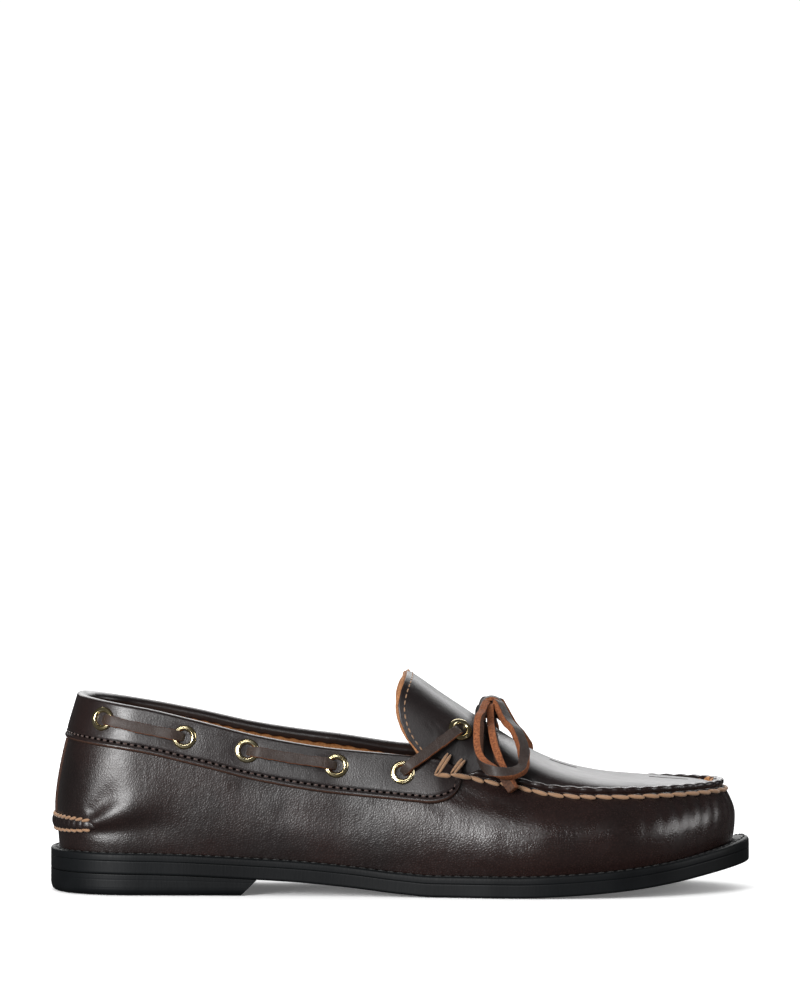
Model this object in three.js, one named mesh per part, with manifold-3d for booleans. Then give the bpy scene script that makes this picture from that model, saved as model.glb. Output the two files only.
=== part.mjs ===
// A right boat shoe in the camp moccasin style, in millimetres.
// X runs from heel to toe, the outer side of the foot is -Y, and +Z is up from the floor.
import * as THREE from 'three';
import { mergeVertices } from 'three/addons/utils/BufferGeometryUtils.js';
import Module from 'manifold-3d';

const wasm = await Module();
wasm.setup();

// Driving sizes of the shoe
const shoeLength = 290;
const ballWidth = 104;
const collarHeight = 80;
const vampHeight = 41.3;
const tongueHeight = 90.8;
const toeSpring = 11.4;
const toeLip = 2;
const heelLift = 9;
const outsoleThickness = 5.6;
const midsoleThickness = 2.8;
const insoleThickness = 2.4;
const gap = 0.3;

// Walls of leather
const wallThickness = 2.2;
const tongueThickness = 2.4;
const bandThickness = 1.2;
const bandDepth = 19;
const rimRound = 0.5;
const rimThickness = 2.4;
const ridgeHeight = 3.5;
const ridgeWidth = 3.4;

// Eyelets and lace
const eyeletFlangeRadius = 5.1;
const eyeletBoreRadius = 2.7;
const eyeletWall = 0.6;
const eyeletFlangeThickness = 0.8;
const laceWidth = 4.2;
const laceThickness = 2.6;

// Mesh fineness
const columns = 54;
const joinTolerance = 0.01;

// Rows of numbers under the names of their columns
const tableOf = (columnNames, rows) => rows.map((row) => (
  Object.fromEntries(columnNames.map((name, i) => [name, row[i]]))
));

// One row for each section of the last. at is a share of shoeLength. width is the outsole's half width and
// sway its middle, feather, bulge and rim how far the upper's wall lies inside the outsole's edge at its
// foot, its widest level and its top, all as shares of ballWidth. rise is the wall's top between vampHeight
// (0) and collarHeight (1), bulgeAt the widest level as a share of the wall, round its curve above that, and
// dip how much lower the inner side's rim lies, as a share of collarHeight.
const sectionColumns = ['at', 'width', 'sway', 'feather', 'bulge', 'rim', 'rise', 'bulgeAt', 'round', 'dip'];
const sections = tableOf(sectionColumns, [
  [ 0.00, 0.344,  0.000, 0.034, 0.025, 0.117, 1.000, 0.28, 1.5, 0.000],
  [ 0.05, 0.348,  0.000, 0.040, 0.028, 0.103, 0.967, 0.28, 1.5, 0.006],
  [ 0.12, 0.350, -0.002, 0.050, 0.032, 0.076, 0.907, 0.30, 1.7, 0.016],
  [ 0.21, 0.347, -0.010, 0.052, 0.034, 0.062, 0.757, 0.32, 1.8, 0.021],
  [ 0.30, 0.342, -0.020, 0.050, 0.030, 0.058, 0.592, 0.34, 1.9, 0.014],
  [ 0.40, 0.345, -0.032, 0.048, 0.026, 0.062, 0.470, 0.34, 2.0, 0.003],
  [ 0.50, 0.381, -0.034, 0.050, 0.028, 0.088, 0.398, 0.34, 2.1, 0.000],
  [0.545, 0.405, -0.031, 0.052, 0.030, 0.106, 0.362, 0.34, 2.1, 0.000],
  [ 0.57, 0.420, -0.029, 0.053, 0.031, 0.120, 0.276, 0.34, 2.1, 0.000],
  [ 0.60, 0.440, -0.026, 0.053, 0.032, 0.134, 0.194, 0.33, 2.1, 0.000],
  [ 0.64, 0.466, -0.020, 0.054, 0.033, 0.150, 0.142, 0.32, 2.2, 0.000],
  [ 0.72, 0.497, -0.007, 0.055, 0.034, 0.164, 0.031, 0.32, 2.2, 0.000],
  [ 0.80, 0.498,  0.010, 0.056, 0.036, 0.162, 0.000, 0.34, 2.2, 0.000],
  [ 0.88, 0.478,  0.032, 0.058, 0.042, 0.148, 0.000, 0.38, 2.1, 0.000],
  [ 0.94, 0.440,  0.050, 0.062, 0.050, 0.124, 0.005, 0.42, 2.0, 0.000],
  [ 1.00, 0.400,  0.066, 0.066, 0.056, 0.100, 0.013, 0.45, 2.0, 0.000],
]);

// Rounded ends of the outsole's outline: the length of each as a share of shoeLength, and its fullness
const heelEnd = { length: 0.125, fullness: 2.3 };
const toeEnd = { length: 0.21, fullness: 2.2 };

// The plug's ridge line over the instep. rise is its top between vampHeight (0) and tongueHeight (1), and
// fullness the arch of its section, where 2 is an ellipse and more is a squarer shoulder.
const instep = tableOf(['at', 'rise', 'fullness'], [
  [0.440, 1.210, 3.0],
  [0.512, 1.000, 3.0],
  [0.560, 0.806, 3.0],
  [0.586, 0.703, 3.0],
  [0.608, 0.616, 2.9],
  [0.631, 0.528, 2.8],
  [0.685, 0.333, 2.6],
  [0.721, 0.238, 2.5],
  [0.757, 0.176, 2.4],
  [0.800, 0.130, 2.4],
  [0.864, 0.098, 2.4],
  [0.920, 0.070, 2.3],
  [0.950, 0.044, 2.2],
  [1.000, 0.020, 2.0],
]);

// The outsole's underside. heel is its height behind the ball as a share of heelLift, toe its height in
// front of the ball as a share of toeSpring, and lip how far the midsole's toe turns up, as a share of toeLip.
const underside = tableOf(['at', 'heel', 'toe', 'lip'], [
  [0.00, 1.00, 0.00, 0.00],
  [0.15, 0.94, 0.00, 0.00],
  [0.30, 0.72, 0.00, 0.00],
  [0.36, 0.60, 0.00, 0.00],
  [0.43, 0.38, 0.00, 0.00],
  [0.50, 0.12, 0.00, 0.00],
  [0.55, 0.00, 0.00, 0.00],
  [0.66, 0.00, 0.00, 0.00],
  [0.74, 0.00, 0.07, 0.00],
  [0.83, 0.00, 0.26, 0.00],
  [0.89, 0.00, 0.47, 0.00],
  [0.96, 0.00, 0.80, 0.30],
  [1.00, 0.00, 1.00, 1.00],
]);

// A smooth value of one column between the rows, which never overshoots them
function through(rows, column) {
  const slopes = rows.slice(1).map((row, i) => (row[column] - rows[i][column]) / (row.at - rows[i].at));
  const tangents = rows.map((row, i) => {
    if (i === 0) return slopes[0];
    if (i === rows.length - 1) return slopes[i - 1];
    const [before, after] = [slopes[i - 1], slopes[i]];
    return before * after <= 0 ? 0 : (2 * before * after) / (before + after);
  });
  return (at) => {
    const inside = THREE.MathUtils.clamp(at, rows[0].at, rows[rows.length - 1].at);
    let i = 0;
    while (i < rows.length - 2 && inside > rows[i + 1].at) i += 1;
    const span = rows[i + 1].at - rows[i].at;
    const t = (inside - rows[i].at) / span;
    const start = rows[i][column];
    const end = rows[i + 1][column];
    return start * (1 + 2 * t) * (1 - t) ** 2 + end * t * t * (3 - 2 * t)
      + span * (tangents[i] * t * (1 - t) ** 2 - tangents[i + 1] * t * t * (1 - t));
  };
}

const section = Object.fromEntries(sectionColumns.map((column) => [column, through(sections, column)]));
const instepRise = through(instep, 'rise');
const instepFullness = through(instep, 'fullness');
const heelShare = through(underside, 'heel');
const toeShare = through(underside, 'toe');
const lipShare = through(underside, 'lip');

const shareOfX = (x) => x / shoeLength + 0.5;
const shareOfTurn = (turn) => (1 - Math.cos(turn)) / 2;
const turnOfShare = (at, side) => -side * Math.acos(1 - 2 * THREE.MathUtils.clamp(at, 0, 1));
const xOfShare = (at) => (at - 0.5) * shoeLength;

// How far a rounded end has opened at a distance from its tip
function endShape(distance, end) {
  const reach = Math.min(1, Math.max(0, distance / (end.length * shoeLength)));
  return (1 - (1 - reach) ** end.fullness) ** (1 / end.fullness);
}

// The outsole's outline before it is centred. turn goes round from the heel (0) by the outer side to the
// toe (pi) and back by the inner side.
function rawOutline(turn) {
  const at = shareOfTurn(turn);
  const x = xOfShare(at);
  const ends = endShape(at * shoeLength, heelEnd) * endShape((1 - at) * shoeLength, toeEnd);
  const side = Math.sin(turn) >= 0 ? -1 : 1;
  return new THREE.Vector2(x, ballWidth * (section.sway(at) + side * section.width(at) * ends));
}

const turnOf = (column) => (column / columns) * 2 * Math.PI;
const outlineYs = Array.from({ length: columns }, (_, i) => rawOutline(turnOf(i)).y);
const outlineMiddle = (Math.max(...outlineYs) + Math.min(...outlineYs)) / 2;

// A point of the outline, moved inward by inset
function outline(turn, inset) {
  const step = 0.02;
  const before = rawOutline(turn - step);
  const after = rawOutline(turn + step);
  const along = after.sub(before).normalize();
  const point = rawOutline(turn);
  return new THREE.Vector2(point.x - along.y * inset, point.y + along.x * inset - outlineMiddle);
}

const undersideZ = (x) => heelLift * heelShare(shareOfX(x)) + toeSpring * toeShare(shareOfX(x));
const outsoleTopZ = (x) => undersideZ(x) + outsoleThickness;
const midsoleTopZ = (x) => outsoleTopZ(x) + gap + midsoleThickness + toeLip * lipShare(shareOfX(x));

function rimZ(turn) {
  const at = shareOfTurn(turn);
  const inner = Math.sin(turn) < 0 ? 1 : 0;
  return vampHeight + section.rise(at) * (collarHeight - vampHeight) - inner * section.dip(at) * collarHeight;
}

const instepZ = (x) => vampHeight + instepRise(shareOfX(x)) * (tongueHeight - vampHeight);

// A closed body from rings of equal length, each starting at the heel and going round by the outer side.
// Its first and last ring are closed by strips from the outer to the inner side.
function ringBody(rings) {
  const count = rings[0].length;
  const positions = rings.flat().flatMap((p) => [p.x, p.y, p.z]);
  const index = [];
  for (let r = 0; r < rings.length - 1; r += 1) {
    for (let i = 0; i < count; i += 1) {
      const [a, b] = [r * count + i, r * count + ((i + 1) % count)];
      index.push(a, b, b + count, a, b + count, a + count);
    }
  }
  const top = (rings.length - 1) * count;
  for (let i = 0; i < count / 2; i += 1) {
    const [near, nearNext] = [i, i + 1];
    const [far, farNext] = [(count - i) % count, count - i - 1];
    index.push(near, farNext, nearNext, near, far, farNext);
    index.push(top + near, top + nearNext, top + farNext, top + near, top + farNext, top + far);
  }
  return cleaned(positions, index);
}

// A geometry with shared corners merged and the triangles that this collapses taken out
function cleaned(positions, index) {
  const loose = new THREE.BufferGeometry();
  loose.setAttribute('position', new THREE.Float32BufferAttribute(positions, 3));
  loose.setIndex(index);
  const merged = mergeVertices(loose, 1e-3);
  const kept = [];
  const corners = merged.index.array;
  for (let i = 0; i < corners.length; i += 3) {
    const [a, b, c] = [corners[i], corners[i + 1], corners[i + 2]];
    if (a !== b && b !== c && c !== a) kept.push(a, b, c);
  }
  merged.setIndex(kept);
  return merged;
}

// Every corner moved outward along its normal
function swollen(geometry, distance) {
  const moved = geometry.clone();
  moved.computeVertexNormals();
  const { position, normal } = moved.attributes;
  for (let i = 0; i < position.count; i += 1) {
    position.setXYZ(
      i,
      position.getX(i) + normal.getX(i) * distance,
      position.getY(i) + normal.getY(i) * distance,
      position.getZ(i) + normal.getZ(i) * distance,
    );
  }
  moved.deleteAttribute('normal');
  return moved;
}

function solidOf(geometry) {
  const bare = geometry.clone();
  bare.deleteAttribute('normal');
  bare.deleteAttribute('uv');
  const merged = mergeVertices(bare, 1e-4);
  const mesh = new wasm.Mesh({
    numProp: 3,
    vertProperties: Float32Array.from(merged.attributes.position.array),
    triVerts: Uint32Array.from(merged.index.array),
    tolerance: joinTolerance,
  });
  mesh.merge();
  return new wasm.Manifold(mesh);
}

function geometryOf(solid) {
  const mesh = solid.getMesh();
  const geometry = new THREE.BufferGeometry();
  geometry.setAttribute('position', new THREE.Float32BufferAttribute(mesh.vertProperties, 3));
  geometry.setIndex(Array.from(mesh.triVerts));
  return geometry;
}

// The upper's wall: turn goes round the shoe and level goes from its foot (0) to its top (1)
function wallInset(at, level) {
  const bulgeAt = section.bulgeAt(at);
  const bulge = section.bulge(at);
  if (level < bulgeAt) return ballWidth * (bulge + (section.feather(at) - bulge) * (1 - level / bulgeAt) ** 2);
  return ballWidth * (bulge + (section.rim(at) - bulge) * ((level - bulgeAt) / (1 - bulgeAt)) ** section.round(at));
}

function wallPoint(turn, level) {
  const at = shareOfTurn(turn);
  const foot = outline(turn, wallInset(at, 0));
  const footZ = midsoleTopZ(foot.x) + gap;
  const point = outline(turn, wallInset(at, level));
  return new THREE.Vector3(point.x, point.y, footZ + level * (rimZ(turn) - footZ));
}

// The ridge sewn round the plug rises out of the wall's top in front of the collar band
const ridgeStart = 0.585;
const ridgeFull = 0.615;

function topEdgePoint(turn, inward, upward) {
  const at = shareOfTurn(turn);
  const point = outline(turn, wallInset(at, 1) + inward);
  return new THREE.Vector3(point.x, point.y, rimZ(turn) + upward);
}

// The last's whole surface as rings: the wall, its top edge with or without the ridge, and the lid over it
function lastRings({ ridged, levels, lidRings, drop, arched }) {
  const turns = Array.from({ length: columns }, (_, i) => turnOf(i));
  const rings = levels.map((level) => turns.map((turn) => {
    const point = wallPoint(turn, level);
    if (level === 0) point.z -= drop;
    return point;
  }));
  const share = (turn) => (ridged ? THREE.MathUtils.smoothstep(shareOfTurn(turn), ridgeStart, ridgeFull) : 0);
  const lift = (turn) => THREE.MathUtils.lerp(rimRound, ridgeHeight, share(turn));
  const outer = (turn) => THREE.MathUtils.lerp(0.15, -0.03, share(turn)) * ridgeWidth;
  rings.push(turns.map((turn) => topEdgePoint(turn, outer(turn), lift(turn))));
  rings.push(turns.map((turn) => topEdgePoint(turn, ridgeWidth * 0.8, lift(turn))));
  const feet = turns.map((turn) => topEdgePoint(turn, ridgeWidth, ridgeHeight * 0.3 * share(turn)));
  rings.push(feet);
  for (let ring = 1; ring <= lidRings; ring += 1) {
    const angle = (ring / lidRings) * (Math.PI / 2);
    rings.push(feet.map((foot, i) => {
      const point = lidPoint(foot, feet[(columns - i) % columns], angle);
      return arched ? point : point.setZ(foot.z);
    }));
  }
  return rings;
}

// A point of the lid's arch between two feet, where angle is 0 at the foot and a right angle on the middle line
function lidPoint(foot, farFoot, angle) {
  const middle = foot.clone().add(farFoot).multiplyScalar(0.5);
  const power = 2 / instepFullness(shareOfX(middle.x));
  const across = angle >= Math.PI / 2 ? 0 : Math.cos(angle) ** power;
  const crown = Math.max(0, instepZ(middle.x) - middle.z);
  const point = middle.clone().lerp(foot, across);
  point.z += crown * Math.sin(angle) ** power;
  return point;
}

const outside = { levels: [0, 0.1, 0.22, 0.36, 0.52, 0.68, 0.84, 1], lidRings: 6, drop: 0, arched: true };
const inside = { levels: [0, 0.28, 0.55, 0.8, 1], lidRings: 4, drop: 6, arched: true };
const lidless = { ...outside, lidRings: 1, arched: false };

const lastForm = (swell, ridged, fineness = outside) => (
  solidOf(swollen(ringBody(lastRings({ ridged, ...fineness })), swell))
);

// A prism whose outline is drawn on the XZ plane, right across the shoe
function sidePrism(corners) {
  const shape = new THREE.Shape(corners.map(([x, z]) => new THREE.Vector2(x, z)));
  const geometry = new THREE.ExtrudeGeometry(shape, { depth: 2 * ballWidth, bevelEnabled: false });
  geometry.rotateX(Math.PI / 2);
  geometry.translate(0, ballWidth, 0);
  return solidOf(geometry);
}

// Where the collar ends in front and the plug begins
const throatX = xOfShare(0.56);
const skyZ = tongueHeight + 30;

// The space inside the rim, all round, and its part behind the throat, which is the collar's opening
function rimPrism() {
  const turns = Array.from({ length: columns }, (_, i) => turnOf(i));
  const ring = (z) => turns.map((turn) => topEdgePoint(turn, rimThickness, 0).setZ(z));
  return solidOf(ringBody([ring(vampHeight - 10), ring(skyZ)]));
}

function collarOpening() {
  const behind = sidePrism([[-shoeLength, 0], [throatX, 0], [throatX, skyZ + 5], [-shoeLength, skyZ + 5]]);
  return rimPrism().intersect(behind);
}

// A point and outward normal on the upper's wall at a given X and height, on one side (-1 outer, 1 inner)
function onWall(side, x, z, swell) {
  const turnFor = (share) => -side * share;
  const levelAt = (turn) => {
    const footZ = wallPoint(turn, 0).z;
    return (z - footZ) / (rimZ(turn) - footZ);
  };
  let [low, high] = [0.01, Math.PI - 0.01];
  for (let i = 0; i < 40; i += 1) {
    const middle = (low + high) / 2;
    const turn = turnFor(middle);
    if (wallPoint(turn, levelAt(turn)).x < x) low = middle;
    else high = middle;
  }
  const turn = turnFor(low);
  const level = levelAt(turn);
  const step = 0.01;
  const point = wallPoint(turn, level);
  const around = wallPoint(turn + step, level).sub(wallPoint(turn - step, level));
  const up = wallPoint(turn, level + step).sub(wallPoint(turn, level - step));
  const normal = around.cross(up).normalize();
  return { point: point.addScaledVector(normal, swell), normal };
}

// The same on the plug's arch, where angle says how far up the arch
function onPlug(side, x, angle, swell) {
  const place = (px, a) => {
    let [low, high] = [0.01, Math.PI - 0.01];
    for (let i = 0; i < 40; i += 1) {
      const middle = (low + high) / 2;
      if (topEdgePoint(-side * middle, ridgeWidth, 0).x < px) low = middle;
      else high = middle;
    }
    const foot = topEdgePoint(-side * low, ridgeWidth, 0);
    return lidPoint(foot, topEdgePoint(side * low, ridgeWidth, 0), a);
  };
  const step = 0.02;
  const point = place(x, angle);
  const along = place(x + shoeLength * step, angle).sub(place(x - shoeLength * step, angle));
  const up = place(x, angle + step).sub(place(x, angle - step));
  const normal = along.cross(up).normalize().multiplyScalar(-side);
  return { point: point.addScaledVector(normal, swell), normal };
}

// A point over the plug: reach goes from its middle line (0) to the ridge's outer edge (1) on one side, and
// lift is the height over the leather below it
function overPlug(side, x, reach, lift) {
  const turn = turnOfShare(shareOfX(x), side);
  const edge = topEdgePoint(turn, 0, ridgeHeight);
  const foot = topEdgePoint(turn, ridgeWidth, 0);
  const farFoot = topEdgePoint(-turn, ridgeWidth, 0);
  const middle = (foot.y + farFoot.y) / 2;
  const y = THREE.MathUtils.lerp(middle, edge.y, reach);
  const across = Math.min(1, Math.abs((y - middle) / (foot.y - middle)));
  const fullness = instepFullness(shareOfX(x));
  const arch = foot.z + (instepZ(x) - foot.z) * (1 - across ** fullness) ** (1 / fullness);
  const base = reach > 0.8 ? Math.max(arch, edge.z) : arch;
  return new THREE.Vector3(x, y, base + lift);
}

// Eyelets: where each sits, and the surface that it is pressed through
const bandTopZ = (at) => rimZ(turnOfShare(at, -1)) + rimRound + gap + bandThickness;
const bandFootZ = (at) => bandTopZ(at) - bandDepth;
const bandEyelets = [
  { name: 'heel', at: 0.076, level: 0.61 },
  { name: 'rear', at: 0.191, level: 0.56 },
  { name: 'middle', at: 0.281, level: 0.61 },
  { name: 'fore', at: 0.409, level: 0.61 },
  { name: 'throat', at: 0.504, level: 0.60 },
];
const plugEyelet = { name: 'plug', at: 0.586, arch: 0.62 };
const eyeletSides = 10;
const sides = [{ name: 'outer', sign: -1 }, { name: 'inner', sign: 1 }];
const bandSwell = gap + bandThickness;

const seats = sides.flatMap(({ name, sign }) => [
  ...bandEyelets.map((row) => {
    const z = THREE.MathUtils.lerp(bandFootZ(row.at), bandTopZ(row.at), row.level);
    return {
      name: `${row.name}_${name}`,
      ...onWall(sign, xOfShare(row.at), z, bandSwell),
      through: bandSwell,
      lift: 1.5 * gap,
    };
  }),
  {
    name: `${plugEyelet.name}_${name}`,
    ...onPlug(sign, xOfShare(plugEyelet.at), plugEyelet.arch, 0),
    through: 0,
    lift: 2.2 * gap,
  },
]);

const seatTurn = (seat) => new THREE.Quaternion().setFromUnitVectors(new THREE.Vector3(0, 1, 0), seat.normal);

const barrelRadius = eyeletBoreRadius + eyeletWall;
const barrelDepth = (seat) => seat.through + wallThickness + 0.4;

// A flanged ring on the Y axis, its flange above the leather and its barrel through it
function eyeletGeometry(seat) {
  const base = seat.lift;
  const top = base + eyeletFlangeThickness;
  const edge = eyeletFlangeRadius;
  const profile = [
    [eyeletBoreRadius, -barrelDepth(seat)],
    [barrelRadius, -barrelDepth(seat)],
    [barrelRadius, base],
    [edge, base],
    [edge - 0.7, top],
    [barrelRadius, top],
    [eyeletBoreRadius, base],
    [eyeletBoreRadius, -barrelDepth(seat)],
  ];
  return new THREE.LatheGeometry(profile.map(([r, y]) => new THREE.Vector2(r, y)), eyeletSides);
}

function eyeletHole(seat) {
  const length = 4 * barrelDepth(seat);
  const radius = barrelRadius + gap / Math.cos(Math.PI / eyeletSides);
  const geometry = new THREE.CylinderGeometry(radius, radius, length, eyeletSides);
  geometry.applyQuaternion(seatTurn(seat));
  geometry.translate(seat.point.x, seat.point.y, seat.point.z);
  return solidOf(geometry);
}

const eyeletHoles = () => seats.map(eyeletHole);

// The roll sewn across the back of the heel
const heelRoll = { height: 28.6, reach: 0.052, tall: 6.8, proud: 2.6, stations: 9 };

function heelRollSolid() {
  const turnEnd = Math.acos(1 - 2 * heelRoll.reach);
  const path = Array.from({ length: heelRoll.stations + 1 }, (_, i) => {
    const turn = THREE.MathUtils.lerp(-turnEnd, turnEnd, i / heelRoll.stations);
    const footZ = wallPoint(turn, 0).z;
    const level = (heelRoll.height - footZ) / (rimZ(turn) - footZ);
    const point = wallPoint(turn, level);
    const away = new THREE.Vector3(point.x - xOfShare(0.2), point.y, 0).normalize();
    return { point, away, fade: Math.sin((Math.PI * i) / heelRoll.stations) ** 0.4 };
  });
  const ring = ({ point, away, fade }) => Array.from({ length: 8 }, (_, k) => {
    const angle = ((k + 0.4) / 8) * 2 * Math.PI;
    const out = Math.cos(angle) * heelRoll.proud * Math.max(0.35, fade);
    const up = Math.sin(angle) * (heelRoll.tall / 2) * Math.max(0.5, fade);
    return point.clone().addScaledVector(away, out).add(new THREE.Vector3(0, 0, up));
  });
  return solidOf(tubeBody(path.map(ring)));
}

// A closed body from a row of rings, with a fan at each end
function tubeBody(rings) {
  const count = rings[0].length;
  const positions = rings.flat().flatMap((p) => [p.x, p.y, p.z]);
  const index = [];
  for (let r = 0; r < rings.length - 1; r += 1) {
    for (let i = 0; i < count; i += 1) {
      const [a, b] = [r * count + i, r * count + ((i + 1) % count)];
      index.push(a, b + count, b, a, a + count, b + count);
    }
  }
  const last = (rings.length - 1) * count;
  for (let i = 1; i < count - 1; i += 1) {
    index.push(0, i, i + 1);
    index.push(last, last + i + 1, last + i);
  }
  return facingOut(cleaned(positions, index));
}

// The same geometry with its faces pointing out
function facingOut(geometry) {
  const { position } = geometry.attributes;
  const corners = geometry.index.array;
  const [a, b, c] = [new THREE.Vector3(), new THREE.Vector3(), new THREE.Vector3()];
  let volume = 0;
  for (let i = 0; i < corners.length; i += 3) {
    a.fromBufferAttribute(position, corners[i]);
    b.fromBufferAttribute(position, corners[i + 1]);
    c.fromBufferAttribute(position, corners[i + 2]);
    volume += a.dot(b.cross(c));
  }
  if (volume >= 0) return geometry;
  const flipped = [];
  for (let i = 0; i < corners.length; i += 3) flipped.push(corners[i], corners[i + 2], corners[i + 1]);
  geometry.setIndex(flipped);
  return geometry;
}

function upperGeometry() {
  const outer = lastForm(0, true).add(heelRollSolid());
  let upper = outer.subtract(lastForm(-wallThickness, false, inside)).subtract(collarOpening());
  eyeletHoles().forEach((hole) => { upper = upper.subtract(hole); });
  return geometryOf(upper);
}

// The collar band covers the upper's top from the heel to the front of the throat
function bandGeometry() {
  const stations = 12;
  const frontX = xOfShare(0.581);
  const cornerX = frontX - 13;
  const lower = Array.from({ length: stations }, (_, i) => {
    const x = THREE.MathUtils.lerp(-shoeLength / 2 - 5, cornerX, i / (stations - 1));
    return [x, bandFootZ(shareOfX(x))];
  });
  const cornerZ = bandFootZ(shareOfX(cornerX));
  const frontZ = bandTopZ(shareOfX(frontX));
  const bend = [0.25, 0.5, 0.75, 1].map((t) => [
    cornerX + (frontX - cornerX) * (1 - (1 - t) ** 1.8),
    cornerZ + (frontZ - cornerZ) * 0.72 * t ** 2.2,
  ]);
  const region = sidePrism([...lower, ...bend, [frontX, skyZ], [-shoeLength / 2 - 5, skyZ]]);
  const shell = lastForm(bandSwell, false, lidless).subtract(lastForm(gap, true, lidless));
  let band = shell.intersect(region).subtract(rimPrism());
  eyeletHoles().forEach((hole) => { band = band.subtract(hole); });
  return geometryOf(band);
}

// The tongue carries the plug's arch on behind the throat, with its sides tucked inside the collar
const tongueEdge = [
  { at: 0.5110, height: 1.010 },
  { at: 0.5014, height: 0.933 },
  { at: 0.4969, height: 0.865 },
  { at: 0.5000, height: 0.796 },
  { at: 0.5107, height: 0.716 },
  { at: 0.5283, height: 0.648 },
  { at: 0.5480, height: 0.590 },
  { at: 0.5600, height: 0.560 },
];

function tongueGeometry() {
  const stations = 8;
  const rearX = xOfShare(0.488);
  const frontX = throatX - gap;
  const tuck = 5;
  const arch = 7;
  const arc = (x, inward) => {
    const inset = ridgeWidth + inward;
    const feet = [-1, 1].map((side) => (
      topEdgePoint(turnOfShare(shareOfX(x), side), inset, -inward * 0.5).setX(x)
    ));
    const side = (foot, far) => [
      foot.clone().add(new THREE.Vector3(0, 0, -tuck)),
      ...Array.from({ length: arch }, (_, k) => {
        const point = lidPoint(foot, far, (k / arch) * Math.PI / 2);
        point.z -= inward * Math.sin((k / arch) * Math.PI / 2);
        return point;
      }),
    ];
    const crest = lidPoint(feet[0], feet[1], Math.PI / 2);
    crest.z -= inward * 1.1;
    return [...side(feet[0], feet[1]), crest, ...side(feet[1], feet[0]).reverse()];
  };
  const rings = Array.from({ length: stations }, (_, i) => {
    const x = THREE.MathUtils.lerp(rearX, frontX, i / (stations - 1));
    return [...arc(x, 0), ...arc(x, tongueThickness).reverse()];
  });
  const shell = solidOf(tubeStrip(rings));
  const edge = tongueEdge.map(({ at, height }) => [xOfShare(at), height * tongueHeight]);
  const front = throatX + 5;
  const region = sidePrism([
    ...edge.reverse(), [edge.at(-1)[0] + 3, skyZ], [front, skyZ], [front, edge[0][1] - 12],
  ]);
  return geometryOf(shell.intersect(region));
}

// A closed body from C-shaped rings, whose ends are closed by strips between the two faces of the C
function tubeStrip(rings) {
  const count = rings[0].length;
  const positions = rings.flat().flatMap((p) => [p.x, p.y, p.z]);
  const index = [];
  for (let r = 0; r < rings.length - 1; r += 1) {
    for (let i = 0; i < count; i += 1) {
      const [a, b] = [r * count + i, r * count + ((i + 1) % count)];
      index.push(a, b + count, b, a, a + count, b + count);
    }
  }
  const last = (rings.length - 1) * count;
  for (let i = 0; i < count / 2 - 1; i += 1) {
    const [j, k] = [count - 1 - i, count - 2 - i];
    index.push(i, i + 1, k, i, k, j);
    index.push(last + i, last + k, last + i + 1, last + i, last + j, last + k);
  }
  return facingOut(cleaned(positions, index));
}

// Rings of the outsole's outline at an inset, following a height over X
const plateRing = (inset, height) => Array.from({ length: columns }, (_, i) => {
  const point = outline(turnOf(i), inset);
  return new THREE.Vector3(point.x, point.y, height(point.x));
});

const edgeRound = 0.8;

function outsoleGeometry() {
  return ringBody([
    plateRing(edgeRound, undersideZ),
    plateRing(0, (x) => undersideZ(x) + edgeRound),
    plateRing(0, outsoleTopZ),
  ]);
}

function midsoleGeometry() {
  const base = (x) => outsoleTopZ(x) + gap;
  return ringBody([
    plateRing(0, base),
    plateRing(0.2, (x) => midsoleTopZ(x) - 0.6),
    plateRing(edgeRound, midsoleTopZ),
  ]);
}

function insoleGeometry() {
  const ring = (height) => Array.from({ length: columns }, (_, i) => {
    const turn = turnOf(i);
    const at = shareOfTurn(turn);
    const point = outline(turn, wallInset(at, 0) + wallThickness + 2 * gap);
    return new THREE.Vector3(point.x, point.y, height(point.x));
  });
  return ringBody([
    ring((x) => midsoleTopZ(x) + gap),
    ring((x) => midsoleTopZ(x) + gap + insoleThickness),
  ]);
}

// The heel block ends in front in a slanted breast
const breastFootX = xOfShare(0.272);
const breastSlant = 9;

function heelGeometry() {
  const rounding = 3;
  const top = (x) => undersideZ(x) - gap;
  const block = solidOf(ringBody([
    plateRing(rounding * 0.8, () => 0),
    plateRing(rounding * 0.25, () => rounding * 0.3),
    plateRing(0, () => rounding),
    plateRing(0, (x) => Math.max(top(x), rounding + 0.5)),
  ]));
  const side = sidePrism([
    [-shoeLength, -5], [breastFootX, -5], [breastFootX, 0],
    [breastFootX + breastSlant, undersideZ(breastFootX + breastSlant)],
    [breastFootX + breastSlant, heelLift * 2], [-shoeLength, heelLift * 2],
  ]);
  return geometryOf(block.intersect(side));
}

// A flat lace along a path, its width lying across the way up at each point
function laceRings(points, ups, width, thickness, narrow) {
  const corner = 0.55;
  const outlineOf = [
    [1, corner], [corner, 1], [-corner, 1], [-1, corner], [-1, -corner], [-corner, -1], [corner, -1], [1, -corner],
  ];
  return points.map((point, i) => {
    const ahead = points[Math.min(i + 1, points.length - 1)];
    const behind = points[Math.max(i - 1, 0)];
    const along = ahead.clone().sub(behind).normalize();
    const across = along.clone().cross(ups[i]).normalize();
    const up = across.clone().cross(along).normalize();
    return outlineOf.map(([u, v]) => (
      point.clone().addScaledVector(across, (u * width * narrow(i)) / 2).addScaledVector(up, (v * thickness) / 2)
    ));
  });
}

const seatNamed = (name) => seats.find((seat) => seat.name === name);

// A lace run comes up out of one eyelet, lies over the leather and goes down the next
const runs = [
  { name: 'rear', from: 'heel', to: 'rear' },
  { name: 'middle', from: 'middle', to: 'fore' },
  { name: 'throat', from: 'throat', to: 'plug' },
];

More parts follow.
